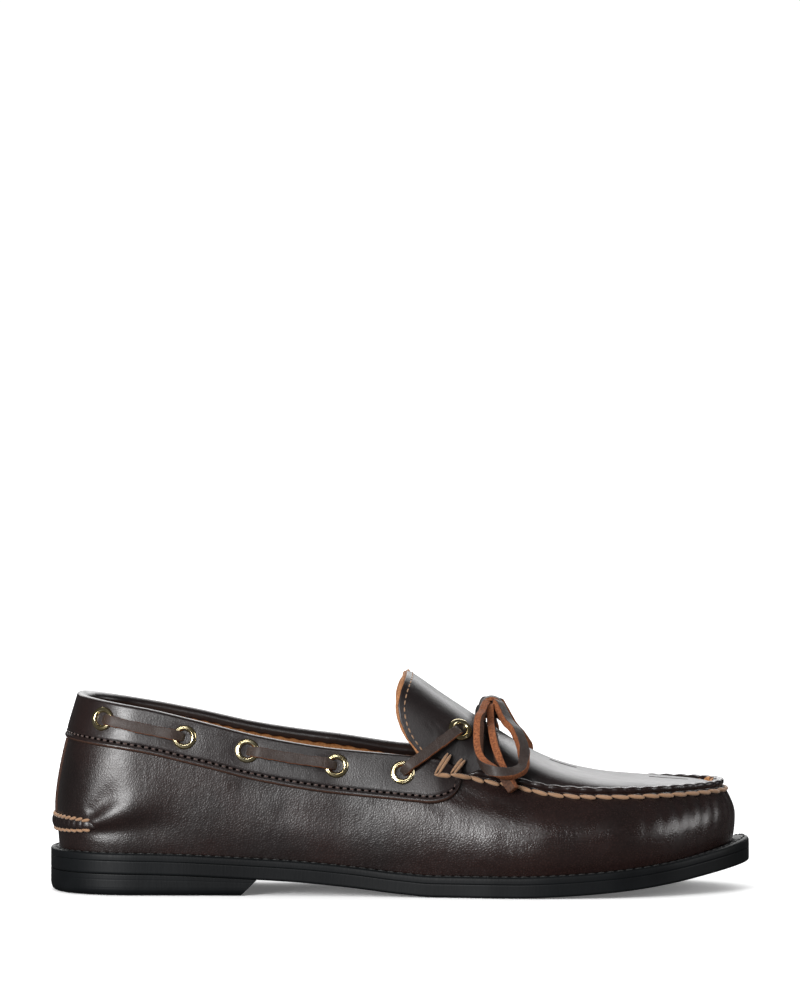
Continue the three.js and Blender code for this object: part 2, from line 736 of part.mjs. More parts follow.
function runGeometry(run, sideName) {
  const side = sides.find((entry) => entry.name === sideName).sign;
  const from = seatNamed(`${run.from}_${sideName}`);
  const to = seatNamed(`${run.to}_${sideName}`);
  const span = to.point.clone().sub(from.point);
  const clear = 3 * gap + eyeletFlangeThickness + laceThickness / 2;
  const nearEyelet = (seat, direction, along, height) => {
    const flat = span.clone().projectOnPlane(seat.normal).normalize();
    return {
      point: seat.point.clone().addScaledVector(flat, direction * along).addScaledVector(seat.normal, height),
      up: seat.normal.clone().addScaledVector(flat, along < 1 ? -direction : 0).normalize(),
    };
  };
  const overLeather = (share) => {
    const point = from.point.clone().addScaledVector(span, share);
    const normal = from.normal.clone().lerp(to.normal, share).normalize();
    if (run.to === plugEyelet.name) return { point: point.addScaledVector(normal, clear + 1.6), up: normal };
    const skin = onWall(side, point.x, point.z, bandSwell);
    return { point: skin.point.addScaledVector(skin.normal, clear), up: skin.normal };
  };
  const steps = [
    nearEyelet(from, 1, 0.1, 0.7),
    nearEyelet(from, 1, 1.4, clear - 0.3),
    nearEyelet(from, 1, 5, clear + 0.6),
    overLeather(0.36),
    overLeather(0.64),
    nearEyelet(to, -1, 5, clear + 0.6),
    nearEyelet(to, -1, 1.4, clear - 0.3),
    nearEyelet(to, -1, 0.1, 0.7),
  ];
  const points = steps.map((step) => step.point);
  const ups = steps.map((step) => step.up);
  const inEyelet = (i) => (i < 2 || i > steps.length - 3 ? 0.84 : 1);
  return tubeBody(laceRings(points, ups, laceWidth, laceThickness, inEyelet));
}

// The bow rests on the plug. Each route leaves the knot towards a direction and then passes over the points
// of its row, each with its x, its reach from the middle line (0) to the ridge's outer edge (1), and its
// lift over the leather. A loop comes back to the knot from a last direction.
const knotRadii = new THREE.Vector3(5, 6, 5.6);
const knotX = 38;
const knotSlope = (instepZ(knotX + 1) - instepZ(knotX - 1)) / 2;
const knotSeat = Math.hypot(knotRadii.z, knotSlope * knotRadii.x) + 1.5 * gap * Math.hypot(1, knotSlope);
const knotCentre = new THREE.Vector3(knotX, -1, instepZ(knotX) + knotSeat);
const freeLaceRadius = 1.8;
const bowRoutes = [
  {
    name: 'bow_loop_outer',
    side: -1,
    leaves: [-0.62, -0.78, 0.05],
    returns: [0.6, -0.78, 0.2],
    points: [
      [33.8, 0.42, 5], [32.6, 0.68, 5.2], [32.2, 0.92, 10.2], [33.6, 1.07, 4.8], [37.6, 1.18, 2], [43, 1.22, 1.4],
      [48.4, 1.16, 2.8], [51.8, 1.02, 6], [51.6, 0.84, 8.8], [48.6, 0.63, 9.4], [44.8, 0.42, 8.6],
    ],
  },
  {
    name: 'bow_end_outer',
    side: -1,
    leaves: [0.02, -0.8, -0.6],
    points: [
      [38, 0.43, 2.6], [38.6, 0.66, 3.2], [39.8, 0.86, 5.4], [41.6, 1, 4.2], [44, 1.09, -0.2], [47.2, 1.15, -4.6],
    ],
  },
  {
    name: 'bow_loop_inner',
    side: 1,
    leaves: [-0.62, 0.78, 0.05],
    returns: [0.6, 0.78, 0.1],
    points: [
      [34, 0.44, 4.8], [33.2, 0.7, 5.8], [33.6, 0.92, 9.4], [35.6, 1.09, 4], [40.4, 1.2, 1.8], [45.8, 1.23, 1.4],
      [50.6, 1.13, 2.6], [53.2, 0.97, 4.4], [53, 0.8, 4.6], [50, 0.6, 5], [45.8, 0.42, 6.6],
    ],
  },
  {
    name: 'bow_end_inner',
    side: 1,
    leaves: [0.02, 0.8, -0.6],
    points: [
      [38, 0.45, 3], [38.8, 0.7, 5.4], [40.2, 0.9, 8.4], [42, 1.02, 4.6], [44.2, 1.1, -0.2], [46.8, 1.17, -4.6],
    ],
  },
];

const freeLaceSection = new THREE.Shape(Array.from({ length: 8 }, (_, k) => {
  const angle = ((k + 0.5) / 8) * 2 * Math.PI;
  return new THREE.Vector2(freeLaceRadius * Math.cos(angle), freeLaceRadius * Math.sin(angle));
}));

// A point just off the knot's surface in a direction
function offKnot(direction, clearance) {
  const away = new THREE.Vector3(...direction).normalize();
  const radius = 1 / away.clone().divide(knotRadii).length();
  return knotCentre.clone().addScaledVector(away, radius + clearance);
}

function routeGeometry({ side, leaves, returns, points }) {
  const corners = [offKnot(leaves, gap), offKnot(leaves, 2.5), ...points.map((point) => overPlug(side, ...point))];
  if (returns) corners.push(offKnot(returns, 2.5), offKnot(returns, gap));
  const path = new THREE.CatmullRomCurve3(corners);
  const steps = Math.round(path.getLength() / (4.4 * freeLaceRadius));
  return new THREE.ExtrudeGeometry(freeLaceSection, { steps, bevelEnabled: false, extrudePath: path });
}

function knotGeometry() {
  const geometry = new THREE.SphereGeometry(1, 10, 8);
  geometry.scale(knotRadii.x, knotRadii.y, knotRadii.z);
  geometry.translate(knotCentre.x, knotCentre.y, knotCentre.z);
  return geometry;
}

const finishes = {
  leather: { color: 0x2b1d1b, roughness: 0.4, metalness: 0 },
  lining: { color: 0xa56a35, roughness: 0.8, metalness: 0 },
  sole: { color: 0x1d1f20, roughness: 0.5, metalness: 0 },
  brass: { color: 0xc9b47a, roughness: 0.25, metalness: 1 },
  lace: { color: 0x3d2a22, roughness: 0.6, metalness: 0 },
  laceCut: { color: 0x8f4b24, roughness: 0.8, metalness: 0 },
};

const shoe = new THREE.Group();
shoe.name = 'boat_shoe';

function addPiece(name, geometry, finish) {
  const mesh = new THREE.Mesh(geometry, new THREE.MeshStandardMaterial(finish));
  mesh.name = name;
  shoe.add(mesh);
  return mesh;
}

addPiece('outsole', outsoleGeometry(), finishes.sole);
addPiece('heel', heelGeometry(), finishes.sole);
addPiece('midsole', midsoleGeometry(), finishes.sole);
addPiece('insole', insoleGeometry(), finishes.lining);
addPiece('upper', upperGeometry(), finishes.leather);
addPiece('tongue', tongueGeometry(), finishes.leather);
addPiece('collar_band', bandGeometry(), finishes.leather);

seats.forEach((seat) => {
  const eyelet = addPiece(`eyelet_${seat.name}`, eyeletGeometry(seat), finishes.brass);
  eyelet.position.copy(seat.point);
  eyelet.quaternion.copy(seatTurn(seat));
});

sides.forEach(({ name }) => {
  runs.forEach((run) => addPiece(`lace_run_${run.name}_${name}`, runGeometry(run, name), finishes.lace));
});

addPiece('bow_knot', knotGeometry(), finishes.lace);
bowRoutes.forEach((route) => addPiece(route.name, routeGeometry(route), finishes.laceCut));

export default shoe;
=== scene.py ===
# %% [markdown]
# # A hand-sewn boat shoe
# A right boat shoe stands on its sole. The imported model holds the true shape of the last and every part
# that carries something. This lesson dresses it: smooth leather, gathers, seams, stitches and laces. The
# imported model is loaded first, as a fixed frame, and its outsole's box gives the shoe's length.

# %% Load the frame
import math
import random

import bpy
import numpy as np
from mathutils import Matrix, Vector


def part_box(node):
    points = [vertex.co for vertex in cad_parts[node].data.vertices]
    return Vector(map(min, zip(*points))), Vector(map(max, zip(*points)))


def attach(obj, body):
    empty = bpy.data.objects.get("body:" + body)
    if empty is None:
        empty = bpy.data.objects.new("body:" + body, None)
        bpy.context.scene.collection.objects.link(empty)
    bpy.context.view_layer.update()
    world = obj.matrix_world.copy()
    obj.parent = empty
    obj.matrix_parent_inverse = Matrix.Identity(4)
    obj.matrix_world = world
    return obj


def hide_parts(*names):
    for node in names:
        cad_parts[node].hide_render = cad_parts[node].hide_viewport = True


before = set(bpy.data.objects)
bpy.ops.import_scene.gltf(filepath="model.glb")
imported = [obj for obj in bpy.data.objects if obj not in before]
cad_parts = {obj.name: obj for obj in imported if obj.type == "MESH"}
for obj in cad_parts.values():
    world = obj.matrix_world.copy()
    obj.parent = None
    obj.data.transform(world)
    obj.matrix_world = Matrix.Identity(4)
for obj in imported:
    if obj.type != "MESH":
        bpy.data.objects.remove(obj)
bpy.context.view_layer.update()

MM = 0.001
BODY = "root"
print("nodes in the frame:", len(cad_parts))

# %% [markdown]
# ## The camera
# The photo is a catalogue side view with a very long lens, so an orthographic camera is the honest choice.
# It looks along +Y from 5 degrees above the floor, and one photo pixel is 0.4155 mm.

# %% Camera
PHOTO_HEIGHT = 1000
PIXEL = 0.4155 * MM
CAMERA_ELEVATION = math.radians(5)
CAMERA_DISTANCE = 1.6
LOOK_AT = Vector((0, 0, 0.1618))

bpy.ops.object.select_all(action="DESELECT")
bpy.ops.object.camera_add()
camera = bpy.context.active_object
camera.name = "photo_camera"
camera.data.type = "ORTHO"
camera.data.ortho_scale = PHOTO_HEIGHT * PIXEL
camera_back = Vector((0, -math.cos(CAMERA_ELEVATION), math.sin(CAMERA_ELEVATION)))
camera.location = LOOK_AT + camera_back * CAMERA_DISTANCE
camera.rotation_euler = (math.pi / 2 - CAMERA_ELEVATION, 0, 0)
camera.data.clip_end = 30
bpy.context.scene.camera = camera

# %% [markdown]
# ## The last
# A shoemaker starts from the last, the wooden form that the leather is pulled over. Here it is a handful of
# sizes and short tables of shares, one row for each section, in millimetres. Every piece below asks this
# form for its place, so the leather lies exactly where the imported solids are.

# %% Sizes of the shoe, in millimetres
outsole_low, outsole_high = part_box("outsole")
SHOE_LENGTH = (outsole_high[0] - outsole_low[0]) / MM
BALL_WIDTH = 104
COLLAR_HEIGHT = 80
VAMP_HEIGHT = 41.3
TONGUE_HEIGHT = 90.8
TOE_SPRING = 11.4
TOE_LIP = 2
HEEL_LIFT = 9
OUTSOLE_THICKNESS = 5.6
MIDSOLE_THICKNESS = 2.8
GAP = 0.3
WALL = 2.2
RIM_WALL = 2.4
RIM_ROUND = 0.5
TONGUE_THICKNESS = 2.4
BAND_SWELL = 1.5
BAND_DEPTH = 19
RIDGE_HEIGHT = 3.5
RIDGE_WIDTH = 3.4
print("sole length:", round(SHOE_LENGTH, 1), "mm")


# %% Tables of the last
def table_of(names, rows):
    return [dict(zip(names, row)) for row in rows]


SECTION_COLUMNS = ("at", "width", "sway", "feather", "bulge", "rim", "rise", "bulge_at", "round", "dip")
sections = table_of(SECTION_COLUMNS, [
    (0.00, 0.344, 0.000, 0.034, 0.025, 0.117, 1.000, 0.28, 1.5, 0.000),
    (0.05, 0.348, 0.000, 0.040, 0.028, 0.103, 0.967, 0.28, 1.5, 0.006),
    (0.12, 0.350, -0.002, 0.050, 0.032, 0.076, 0.907, 0.30, 1.7, 0.011),
    (0.21, 0.347, -0.010, 0.052, 0.034, 0.062, 0.757, 0.32, 1.8, -0.002),
    (0.30, 0.342, -0.020, 0.050, 0.030, 0.058, 0.592, 0.34, 1.9, -0.012),
    (0.40, 0.345, -0.032, 0.048, 0.026, 0.062, 0.470, 0.34, 2.0, -0.02),
    (0.50, 0.381, -0.034, 0.050, 0.028, 0.088, 0.398, 0.34, 2.1, 0.000),
    (0.545, 0.405, -0.031, 0.052, 0.030, 0.106, 0.362, 0.34, 2.1, 0.000),
    (0.57, 0.420, -0.029, 0.053, 0.031, 0.120, 0.276, 0.34, 2.1, 0.000),
    (0.60, 0.440, -0.026, 0.053, 0.032, 0.134, 0.194, 0.33, 2.1, 0.000),
    (0.64, 0.466, -0.020, 0.054, 0.033, 0.150, 0.142, 0.32, 2.2, 0.000),
    (0.72, 0.497, -0.007, 0.055, 0.034, 0.164, 0.031, 0.32, 2.2, 0.000),
    (0.80, 0.498, 0.010, 0.056, 0.036, 0.162, 0.000, 0.34, 2.2, 0.000),
    (0.88, 0.478, 0.032, 0.058, 0.042, 0.148, 0.000, 0.38, 2.1, 0.000),
    (0.94, 0.440, 0.050, 0.062, 0.050, 0.124, 0.005, 0.42, 2.0, 0.000),
    (1.00, 0.400, 0.066, 0.066, 0.056, 0.100, 0.013, 0.45, 2.0, 0.000),
])
instep = table_of(("at", "rise", "fullness"), [
    (0.440, 1.210, 3.0), (0.512, 1.000, 3.0), (0.560, 0.806, 3.0), (0.586, 0.703, 3.0),
    (0.608, 0.616, 2.9), (0.631, 0.528, 2.8), (0.685, 0.333, 2.6), (0.721, 0.238, 2.5),
    (0.757, 0.176, 2.4), (0.800, 0.130, 2.4), (0.864, 0.098, 2.4), (0.920, 0.070, 2.3),
    (0.950, 0.044, 2.2), (1.000, 0.020, 2.0),
])
underside = table_of(("at", "heel", "toe", "lip"), [
    (0.00, 1.00, 0.00, 0.00), (0.15, 0.94, 0.00, 0.00), (0.30, 0.72, 0.00, 0.00), (0.36, 0.60, 0.00, 0.00),
    (0.43, 0.38, 0.00, 0.00), (0.50, 0.12, 0.00, 0.00), (0.55, 0.00, 0.00, 0.00), (0.66, 0.00, 0.00, 0.00),
    (0.74, 0.00, 0.07, 0.00), (0.83, 0.00, 0.26, 0.00), (0.89, 0.00, 0.47, 0.00), (0.96, 0.00, 0.80, 0.30),
    (1.00, 0.00, 1.00, 1.00),
])


# %% Curves through the tables
def through(rows, column):
    """A smooth curve through one column, which never overshoots its rows."""
    at = np.array([row["at"] for row in rows])
    values = np.array([row[column] for row in rows])
    slopes = np.diff(values) / np.diff(at)
    tangents = np.concatenate([slopes[:1], np.zeros(len(rows) - 2), slopes[-1:]])
    for i in range(1, len(rows) - 1):
        before, after = slopes[i - 1], slopes[i]
        if before * after > 0:
            tangents[i] = 2 * before * after / (before + after)

    def value(where):
        inside = np.clip(where, at[0], at[-1])
        i = np.clip(np.searchsorted(at, inside) - 1, 0, len(at) - 2)
        span = at[i + 1] - at[i]
        t = (inside - at[i]) / span
        curve = values[i] * (1 + 2 * t) * (1 - t) ** 2 + values[i + 1] * t * t * (3 - 2 * t)
        return curve + span * (tangents[i] * t * (1 - t) ** 2 - tangents[i + 1] * t * t * (1 - t))

    return value


section = {name: through(sections, name) for name in SECTION_COLUMNS}
instep_rise, instep_fullness = through(instep, "rise"), through(instep, "fullness")
heel_share, toe_share, lip_share = (through(underside, name) for name in ("heel", "toe", "lip"))


def smoothstep(value, low, high):
    t = np.clip((value - low) / (high - low), 0, 1)
    return t * t * (3 - 2 * t)


def mix(a, b, share):
    return a + (b - a) * share


def hump(value, centre, width):
    return np.exp(-(((value - centre) / width) ** 2))


def lengths_along(points):
    """How far along a line each of its points lies."""
    return np.concatenate([[0], np.cumsum(np.linalg.norm(np.diff(points, axis=0), axis=1))])


def picked(rows, lengths, at):
    """Rows of numbers read off at other lengths."""
    return np.stack([np.interp(at, lengths, rows[:, k]) for k in range(rows.shape[1])], axis=1)


# %% Places on the last
def share_of_x(x):
    return x / SHOE_LENGTH + 0.5


def x_of_share(at):
    return (at - 0.5) * SHOE_LENGTH


def share_of_turn(turn):
    return (1 - np.cos(turn)) / 2


def turn_of_share(at, side):
    return -side * np.arccos(1 - 2 * np.clip(at, 0, 1))


def stack(x, y, z):
    return np.stack(np.broadcast_arrays(x, y, z), axis=-1).astype(float)


def end_shape(distance, length, fullness):
    reach = np.clip(distance / (length * SHOE_LENGTH), 0, 1)
    return (1 - (1 - reach) ** fullness) ** (1 / fullness)


def raw_outline(turn):
    """The outsole's edge: turn goes from the heel (0) by the outer side to the toe (pi) and back."""
    at = share_of_turn(turn)
    ends = end_shape(at * SHOE_LENGTH, 0.125, 2.3) * end_shape((1 - at) * SHOE_LENGTH, 0.21, 2.2)
    side = np.where(np.sin(turn) >= 0, -1, 1)
    return x_of_share(at), BALL_WIDTH * (section["sway"](at) + side * section["width"](at) * ends)


OUTLINE_TURNS = np.arange(54) / 54 * 2 * math.pi
outline_ys = raw_outline(OUTLINE_TURNS)[1]
OUTLINE_MIDDLE = (outline_ys.max() + outline_ys.min()) / 2


def outline(turn, inset):
    step = 0.02
    (x0, y0), (x1, y1), (x, y) = raw_outline(turn - step), raw_outline(turn + step), raw_outline(turn)
    length = np.hypot(x1 - x0, y1 - y0)
    along_x, along_y = (x1 - x0) / length, (y1 - y0) / length
    return x - along_y * inset, y + along_x * inset - OUTLINE_MIDDLE


def underside_z(x):
    at = share_of_x(x)
    return HEEL_LIFT * heel_share(at) + TOE_SPRING * toe_share(at)


def outsole_top_z(x):
    return underside_z(x) + OUTSOLE_THICKNESS


def midsole_top_z(x):
    return outsole_top_z(x) + GAP + MIDSOLE_THICKNESS + TOE_LIP * lip_share(share_of_x(x))


def rim_z(turn):
    at = share_of_turn(turn)
    inner = np.where(np.sin(turn) < 0, 1, 0)
    rise = section["rise"](at) * (COLLAR_HEIGHT - VAMP_HEIGHT)
    return VAMP_HEIGHT + rise - inner * section["dip"](at) * COLLAR_HEIGHT


def instep_z(x):
    return VAMP_HEIGHT + instep_rise(share_of_x(x)) * (TONGUE_HEIGHT - VAMP_HEIGHT)


def wall_inset(at, level):
    bulge_at, bulge = section["bulge_at"](at), section["bulge"](at)
    low = bulge + (section["feather"](at) - bulge) * np.clip(1 - level / bulge_at, 0, None) ** 2
    above = np.clip((level - bulge_at) / (1 - bulge_at), 0, None)
    high = bulge + (section["rim"](at) - bulge) * above ** section["round"](at)
    return BALL_WIDTH * np.where(level < bulge_at, low, high)


def foot_z(turn):
    x, _ = outline(turn, wall_inset(share_of_turn(turn), 0.0))
    return midsole_top_z(x) + GAP


def level_of(turn, z):
    """A height as a share of the wall there: 0 at its foot, 1 at its rim."""
    return (z - foot_z(turn)) / (rim_z(turn) - foot_z(turn))


def wall_point(turn, level):
    x, y = outline(turn, wall_inset(share_of_turn(turn), level))
    return stack(x, y, mix(foot_z(turn), rim_z(turn), level))


def unit(vectors):
    return vectors / np.linalg.norm(vectors, axis=-1, keepdims=True)


def wall_normal(turn, level):
    step = 0.012
    around = wall_point(turn + step, level) - wall_point(turn - step, level)
    up = wall_point(turn, np.minimum(level + step, 1.0)) - wall_point(turn, level - step)
    return unit(np.cross(around, up))


def wall(turn, level, swell):
    """A point of the upper's wall, moved out along its normal."""
    return wall_point(turn, level) + wall_normal(turn, level) * np.asarray(swell)[..., None]


def top_edge(turn, inward, upward):
    at = share_of_turn(turn)
    x, y = outline(turn, wall_inset(at, 1.0) + inward)
    return stack(x, y, rim_z(turn) + upward)


def lid_point(turn, angle):
    """The plug's arch between two feet: angle is 0 at the foot and a right angle on the middle line."""
    share = smoothstep(share_of_turn(turn), 0.585, 0.615)
    foot = top_edge(turn, RIDGE_WIDTH, RIDGE_HEIGHT * 0.3 * share)
    far = top_edge(-turn, RIDGE_WIDTH, RIDGE_HEIGHT * 0.3 * share)
    middle = (foot + far) / 2
    power = 2 / instep_fullness(share_of_x(middle[..., 0]))
    across = np.clip(np.cos(angle), 0, 1) ** power
    crown = np.clip(instep_z(middle[..., 0]) - middle[..., 2], 0, None)
    point = middle + (foot - middle) * across[..., None]
    point[..., 2] += crown * np.clip(np.sin(angle), 0, 1) ** power
    return point


print("outline middle:", round(OUTLINE_MIDDLE, 2), "mm")

# %% [markdown]
# ## A grid primitive as raw leather
# Most of this shoe is sheet: leather, lining and rubber wrapped round a form. Each sheet starts as a grid
# primitive, flat and cut to its count of squares, and its corners are then pulled onto the last, as a
# shoemaker pulls leather. Where two edges of the grid meet, merging by distance sews them shut.

# %% Helpers for sheets
def deselect():
    if bpy.context.object and bpy.context.object.mode != "OBJECT":
        bpy.ops.object.mode_set(mode="OBJECT")
    bpy.ops.object.select_all(action="DESELECT")


def choose(piece):
    deselect()
    piece.select_set(True)
    bpy.context.view_layer.objects.active = piece


def sheet_on_form(name, points):
    """A grid primitive with its corners at points, an array of columns of rows in millimetres."""
    columns, rows = points.shape[0] - 1, points.shape[1] - 1
    deselect()
    bpy.ops.mesh.primitive_grid_add(x_subdivisions=columns, y_subdivisions=rows, size=2)
    piece = bpy.context.active_object
    piece.name = piece.data.name = name
    flat = np.empty(len(piece.data.vertices) * 3)
    piece.data.vertices.foreach_get("co", flat)
    flat = flat.reshape(-1, 3)
    column = np.rint((flat[:, 0] + 1) / 2 * columns).astype(int)
    row = np.rint((flat[:, 1] + 1) / 2 * rows).astype(int)
    piece.data.vertices.foreach_set("co", (points[column, row] * MM).ravel())
    corners = np.empty(len(piece.data.loops), dtype=int)
    piece.data.loops.foreach_get("vertex_index", corners)
    corners = corners.reshape(-1, 4)
    for label, numbers in (("row", row), ("column", column)):
        attribute = piece.data.attributes.new(label, "INT", "FACE")
        attribute.data.foreach_set("value", numbers[corners].min(axis=1))
    piece.data.update()
    return piece


def paint(piece, index, rows=None, columns=None):
    """Give the faces between two rows, or two columns, of the sheet another of the piece's materials."""
    for label, limits in (("row", rows), ("column", columns)):
        if limits is None:
            continue
        for face, entry in zip(piece.data.polygons, piece.data.attributes[label].data):
            if limits[0] <= entry.value < limits[1]:
                face.material_index = index


def edit_all(piece, *steps):
    """Run steps of edit mode on the whole mesh, each a mesh operator with its settings."""
    choose(piece)
    bpy.ops.object.mode_set(mode="EDIT")
    for operator, settings in steps:
        bpy.ops.mesh.select_all(action="SELECT")
        operator(**settings)
    bpy.ops.object.mode_set(mode="OBJECT")


def sewn(piece, reach=0.002 * MM):
    """Merge the corners that meet, face everything outwards and shade it smooth."""
    edit_all(
        piece,
        (bpy.ops.mesh.remove_doubles, {"threshold": reach}),
        (bpy.ops.mesh.dissolve_degenerate, {"threshold": reach / 4}),
        (bpy.ops.mesh.normals_make_consistent, {"inside": False}),
    )
    bpy.ops.object.shade_smooth()
    return piece


def joined(pieces, name):
    deselect()
    for piece in pieces:
        piece.select_set(True)
    bpy.context.view_layer.objects.active = pieces[0]
    if len(pieces) > 1:
        bpy.ops.object.join()
    pieces[0].name = pieces[0].data.name = name
    return pieces[0]


def place_copy(model, matrix):
    """A copy with its own mesh, placed in its mesh, so the object stays at the origin."""
    copy = model.copy()
    copy.data = model.data.copy()
    bpy.context.collection.objects.link(copy)
    copy.data.transform(matrix)
    return copy


def finish_piece(piece, materials, nodes=()):
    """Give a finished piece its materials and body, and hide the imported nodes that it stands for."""
    piece.data.materials.clear()
    for material in materials:
        piece.data.materials.append(material)
    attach(piece, BODY)
    if nodes:
        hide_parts(*nodes)
    print(piece.name, len(piece.data.polygons), "faces")
    return piece


# %% [markdown]
# ## Finishes that are shared
# Grain and fine wear belong to more than one finish, so each is a node group with named inputs. Buffing
# marks are shared too, through the rubber's own function. A group only puts out heights and masks; every
# material keeps its own Principled shader.

# %% Node group helpers
def new_group(name, inputs, outputs):
    group = bpy.data.node_groups.new(name, "ShaderNodeTree")
    for label, kind, value in inputs:
        socket = group.interface.new_socket(name=label, in_out="INPUT", socket_type=kind)
        if value is not None:
            socket.default_value = value
    for label, kind in outputs:
        group.interface.new_socket(name=label, in_out="OUTPUT", socket_type=kind)
    return group, group.nodes.new("NodeGroupInput"), group.nodes.new("NodeGroupOutput")


def node(tree, kind, **settings):
    made = tree.nodes.new(kind)
    for key, value in settings.items():
        if key in made.inputs:
            made.inputs[key].default_value = value
        else:
            setattr(made, key, value)
    return made


def feed(tree, socket, value):
    """Give a socket a number or a colour, or link another socket to it."""
    if isinstance(value, (int, float, tuple)):
        socket.default_value = value
    else:
        tree.links.new(value, socket)


def math_node(tree, operation, first, second):
    made = node(tree, "ShaderNodeMath", operation=operation)
    feed(tree, made.inputs[0], first)
    feed(tree, made.inputs[1], second)
    return made.outputs[0]


def scaled(tree, vector, factors):
    made = node(tree, "ShaderNodeVectorMath", operation="MULTIPLY")
    tree.links.new(vector, made.inputs[0])
    made.inputs[1].default_value = factors
    return made.outputs[0]


def remapped(tree, value, low, high, top=1.0):
    """A soft step from 0 at low to top at high."""
    settings = {"From Min": low, "From Max": high, "To Min": 0.0, "To Max": top}
    made = node(tree, "ShaderNodeMapRange", interpolation_type="SMOOTHSTEP", **settings)
    tree.links.new(value, made.inputs["Value"])
    return made.outputs["Result"]


def noise(tree, vector, scale, detail=3.0, roughness=0.55):
    made = node(tree, "ShaderNodeTexNoise", Detail=detail, Roughness=roughness)
    feed(tree, made.inputs["Scale"], scale)
    tree.links.new(vector, made.inputs["Vector"])
    return made.outputs["Fac"]


def blended(tree, factor, first, second):
    """A mix of two colours, each a tuple or a socket."""
    made = node(tree, "ShaderNodeMix", data_type="RGBA")
    tree.links.new(factor, made.inputs["Factor"])
    for key, value in (("A", first), ("B", second)):
        socket = [s for s in made.inputs if s.name == key and s.type == "RGBA"][0]
        feed(tree, socket, (*value, 1.0) if isinstance(value, tuple) else value)
    return [s for s in made.outputs if s.type == "RGBA"][0]


# %% Group: leather grain
grain_group, grain_in, grain_out = new_group(
    "leather_grain",
    [("Vector", "NodeSocketVector", None), ("Pebbles per metre", "NodeSocketFloat", 900.0),
     ("Pebble depth", "NodeSocketFloat", 1.0), ("Creasing", "NodeSocketFloat", 0.5)],
    [("Height", "NodeSocketFloat"), ("Pores", "NodeSocketFloat"), ("Creases", "NodeSocketFloat")],
)
warp = node(grain_group, "ShaderNodeTexNoise", Scale=160.0, Detail=2.0)
grain_group.links.new(grain_in.outputs["Vector"], warp.inputs["Vector"])
warped = node(grain_group, "ShaderNodeVectorMath", operation="MULTIPLY_ADD")
grain_group.links.new(warp.outputs["Color"], warped.inputs[0])
warped.inputs[1].default_value = (1.6 * MM,) * 3
grain_group.links.new(grain_in.outputs["Vector"], warped.inputs[2])
pebbles = node(grain_group, "ShaderNodeTexVoronoi", feature="DISTANCE_TO_EDGE")
grain_group.links.new(warped.outputs[0], pebbles.inputs["Vector"])
grain_group.links.new(grain_in.outputs["Pebbles per metre"], pebbles.inputs["Scale"])
pebble_height = remapped(grain_group, pebbles.outputs["Distance"], 0.0, 0.32)
fine = noise(grain_group, grain_in.outputs["Vector"], 2600.0, 2.0)
upright = scaled(grain_group, grain_in.outputs["Vector"], (1.0, 1.0, 0.45))
creases = noise(grain_group, upright, 210.0, 4.0, 0.62)
crease_lines = remapped(grain_group, creases, 0.42, 0.58)
pebble_part = math_node(grain_group, "MULTIPLY", pebble_height, grain_in.outputs["Pebble depth"])
crease_part = math_node(grain_group, "MULTIPLY", crease_lines, grain_in.outputs["Creasing"])
fine_part = math_node(grain_group, "MULTIPLY", fine, 0.35)
total = math_node(grain_group, "ADD", math_node(grain_group, "ADD", pebble_part, crease_part), fine_part)
grain_group.links.new(total, grain_out.inputs["Height"])
grain_group.links.new(math_node(grain_group, "SUBTRACT", 1.0, pebble_height), grain_out.inputs["Pores"])
grain_group.links.new(crease_lines, grain_out.inputs["Creases"])

# %% Group: patches of wax and handling
patina_group, patina_in, patina_out = new_group(
    "patina",
    [("Vector", "NodeSocketVector", None), ("Patches per metre", "NodeSocketFloat", 24.0)],
    [("Broad", "NodeSocketFloat"), ("Streaks", "NodeSocketFloat")],
)
broad = noise(patina_group, patina_in.outputs["Vector"], patina_in.outputs["Patches per metre"], 4.0, 0.5)
streaked = scaled(patina_group, patina_in.outputs["Vector"], (0.35, 1.0, 1.0))
streaks = noise(patina_group, streaked, 260.0, 3.0, 0.6)
patina_group.links.new(remapped(patina_group, broad, 0.3, 0.7), patina_out.inputs["Broad"])
patina_group.links.new(streaks, patina_out.inputs["Streaks"])
print("node groups:", [group.name for group in bpy.data.node_groups])


# %% Material helpers
def new_material(name, roughness, metallic=0.0):
    material = bpy.data.materials.new(name)
    material.use_nodes = True
    tree = material.node_tree
    shader = tree.nodes["Principled BSDF"]
    shader.inputs["Roughness"].default_value = roughness
    shader.inputs["Metallic"].default_value = metallic
    place = tree.nodes.new("ShaderNodeTexCoord").outputs["Object"]
    return material, tree, shader, place


def add_group(tree, group, place, **values):
    made = tree.nodes.new("ShaderNodeGroup")
    made.node_tree = group
    tree.links.new(place, made.inputs["Vector"])
    for key, value in values.items():
        made.inputs[key.replace("_", " ")].default_value = value
    return made


def bumped(tree, shader, height, depth):
    made = node(tree, "ShaderNodeBump", Strength=1.0, Distance=depth)
    tree.links.new(height, made.inputs["Height"])
    tree.links.new(made.outputs["Normal"], shader.inputs["Normal"])


def raised(tree, mask, spread, least):
    """A value that a mask raises from its least."""
    return math_node(tree, "ADD", math_node(tree, "MULTIPLY", mask, spread), least)


# %% [markdown]
# ## Waxed leather
# Pull-up leather is nearly black where the wax lies thick and turns red-brown where it thins. Its gloss is
# broad and cool. The quarter is pebbled and more polished towards the toe, while the band, plug and tongue
# are pulled smoother.

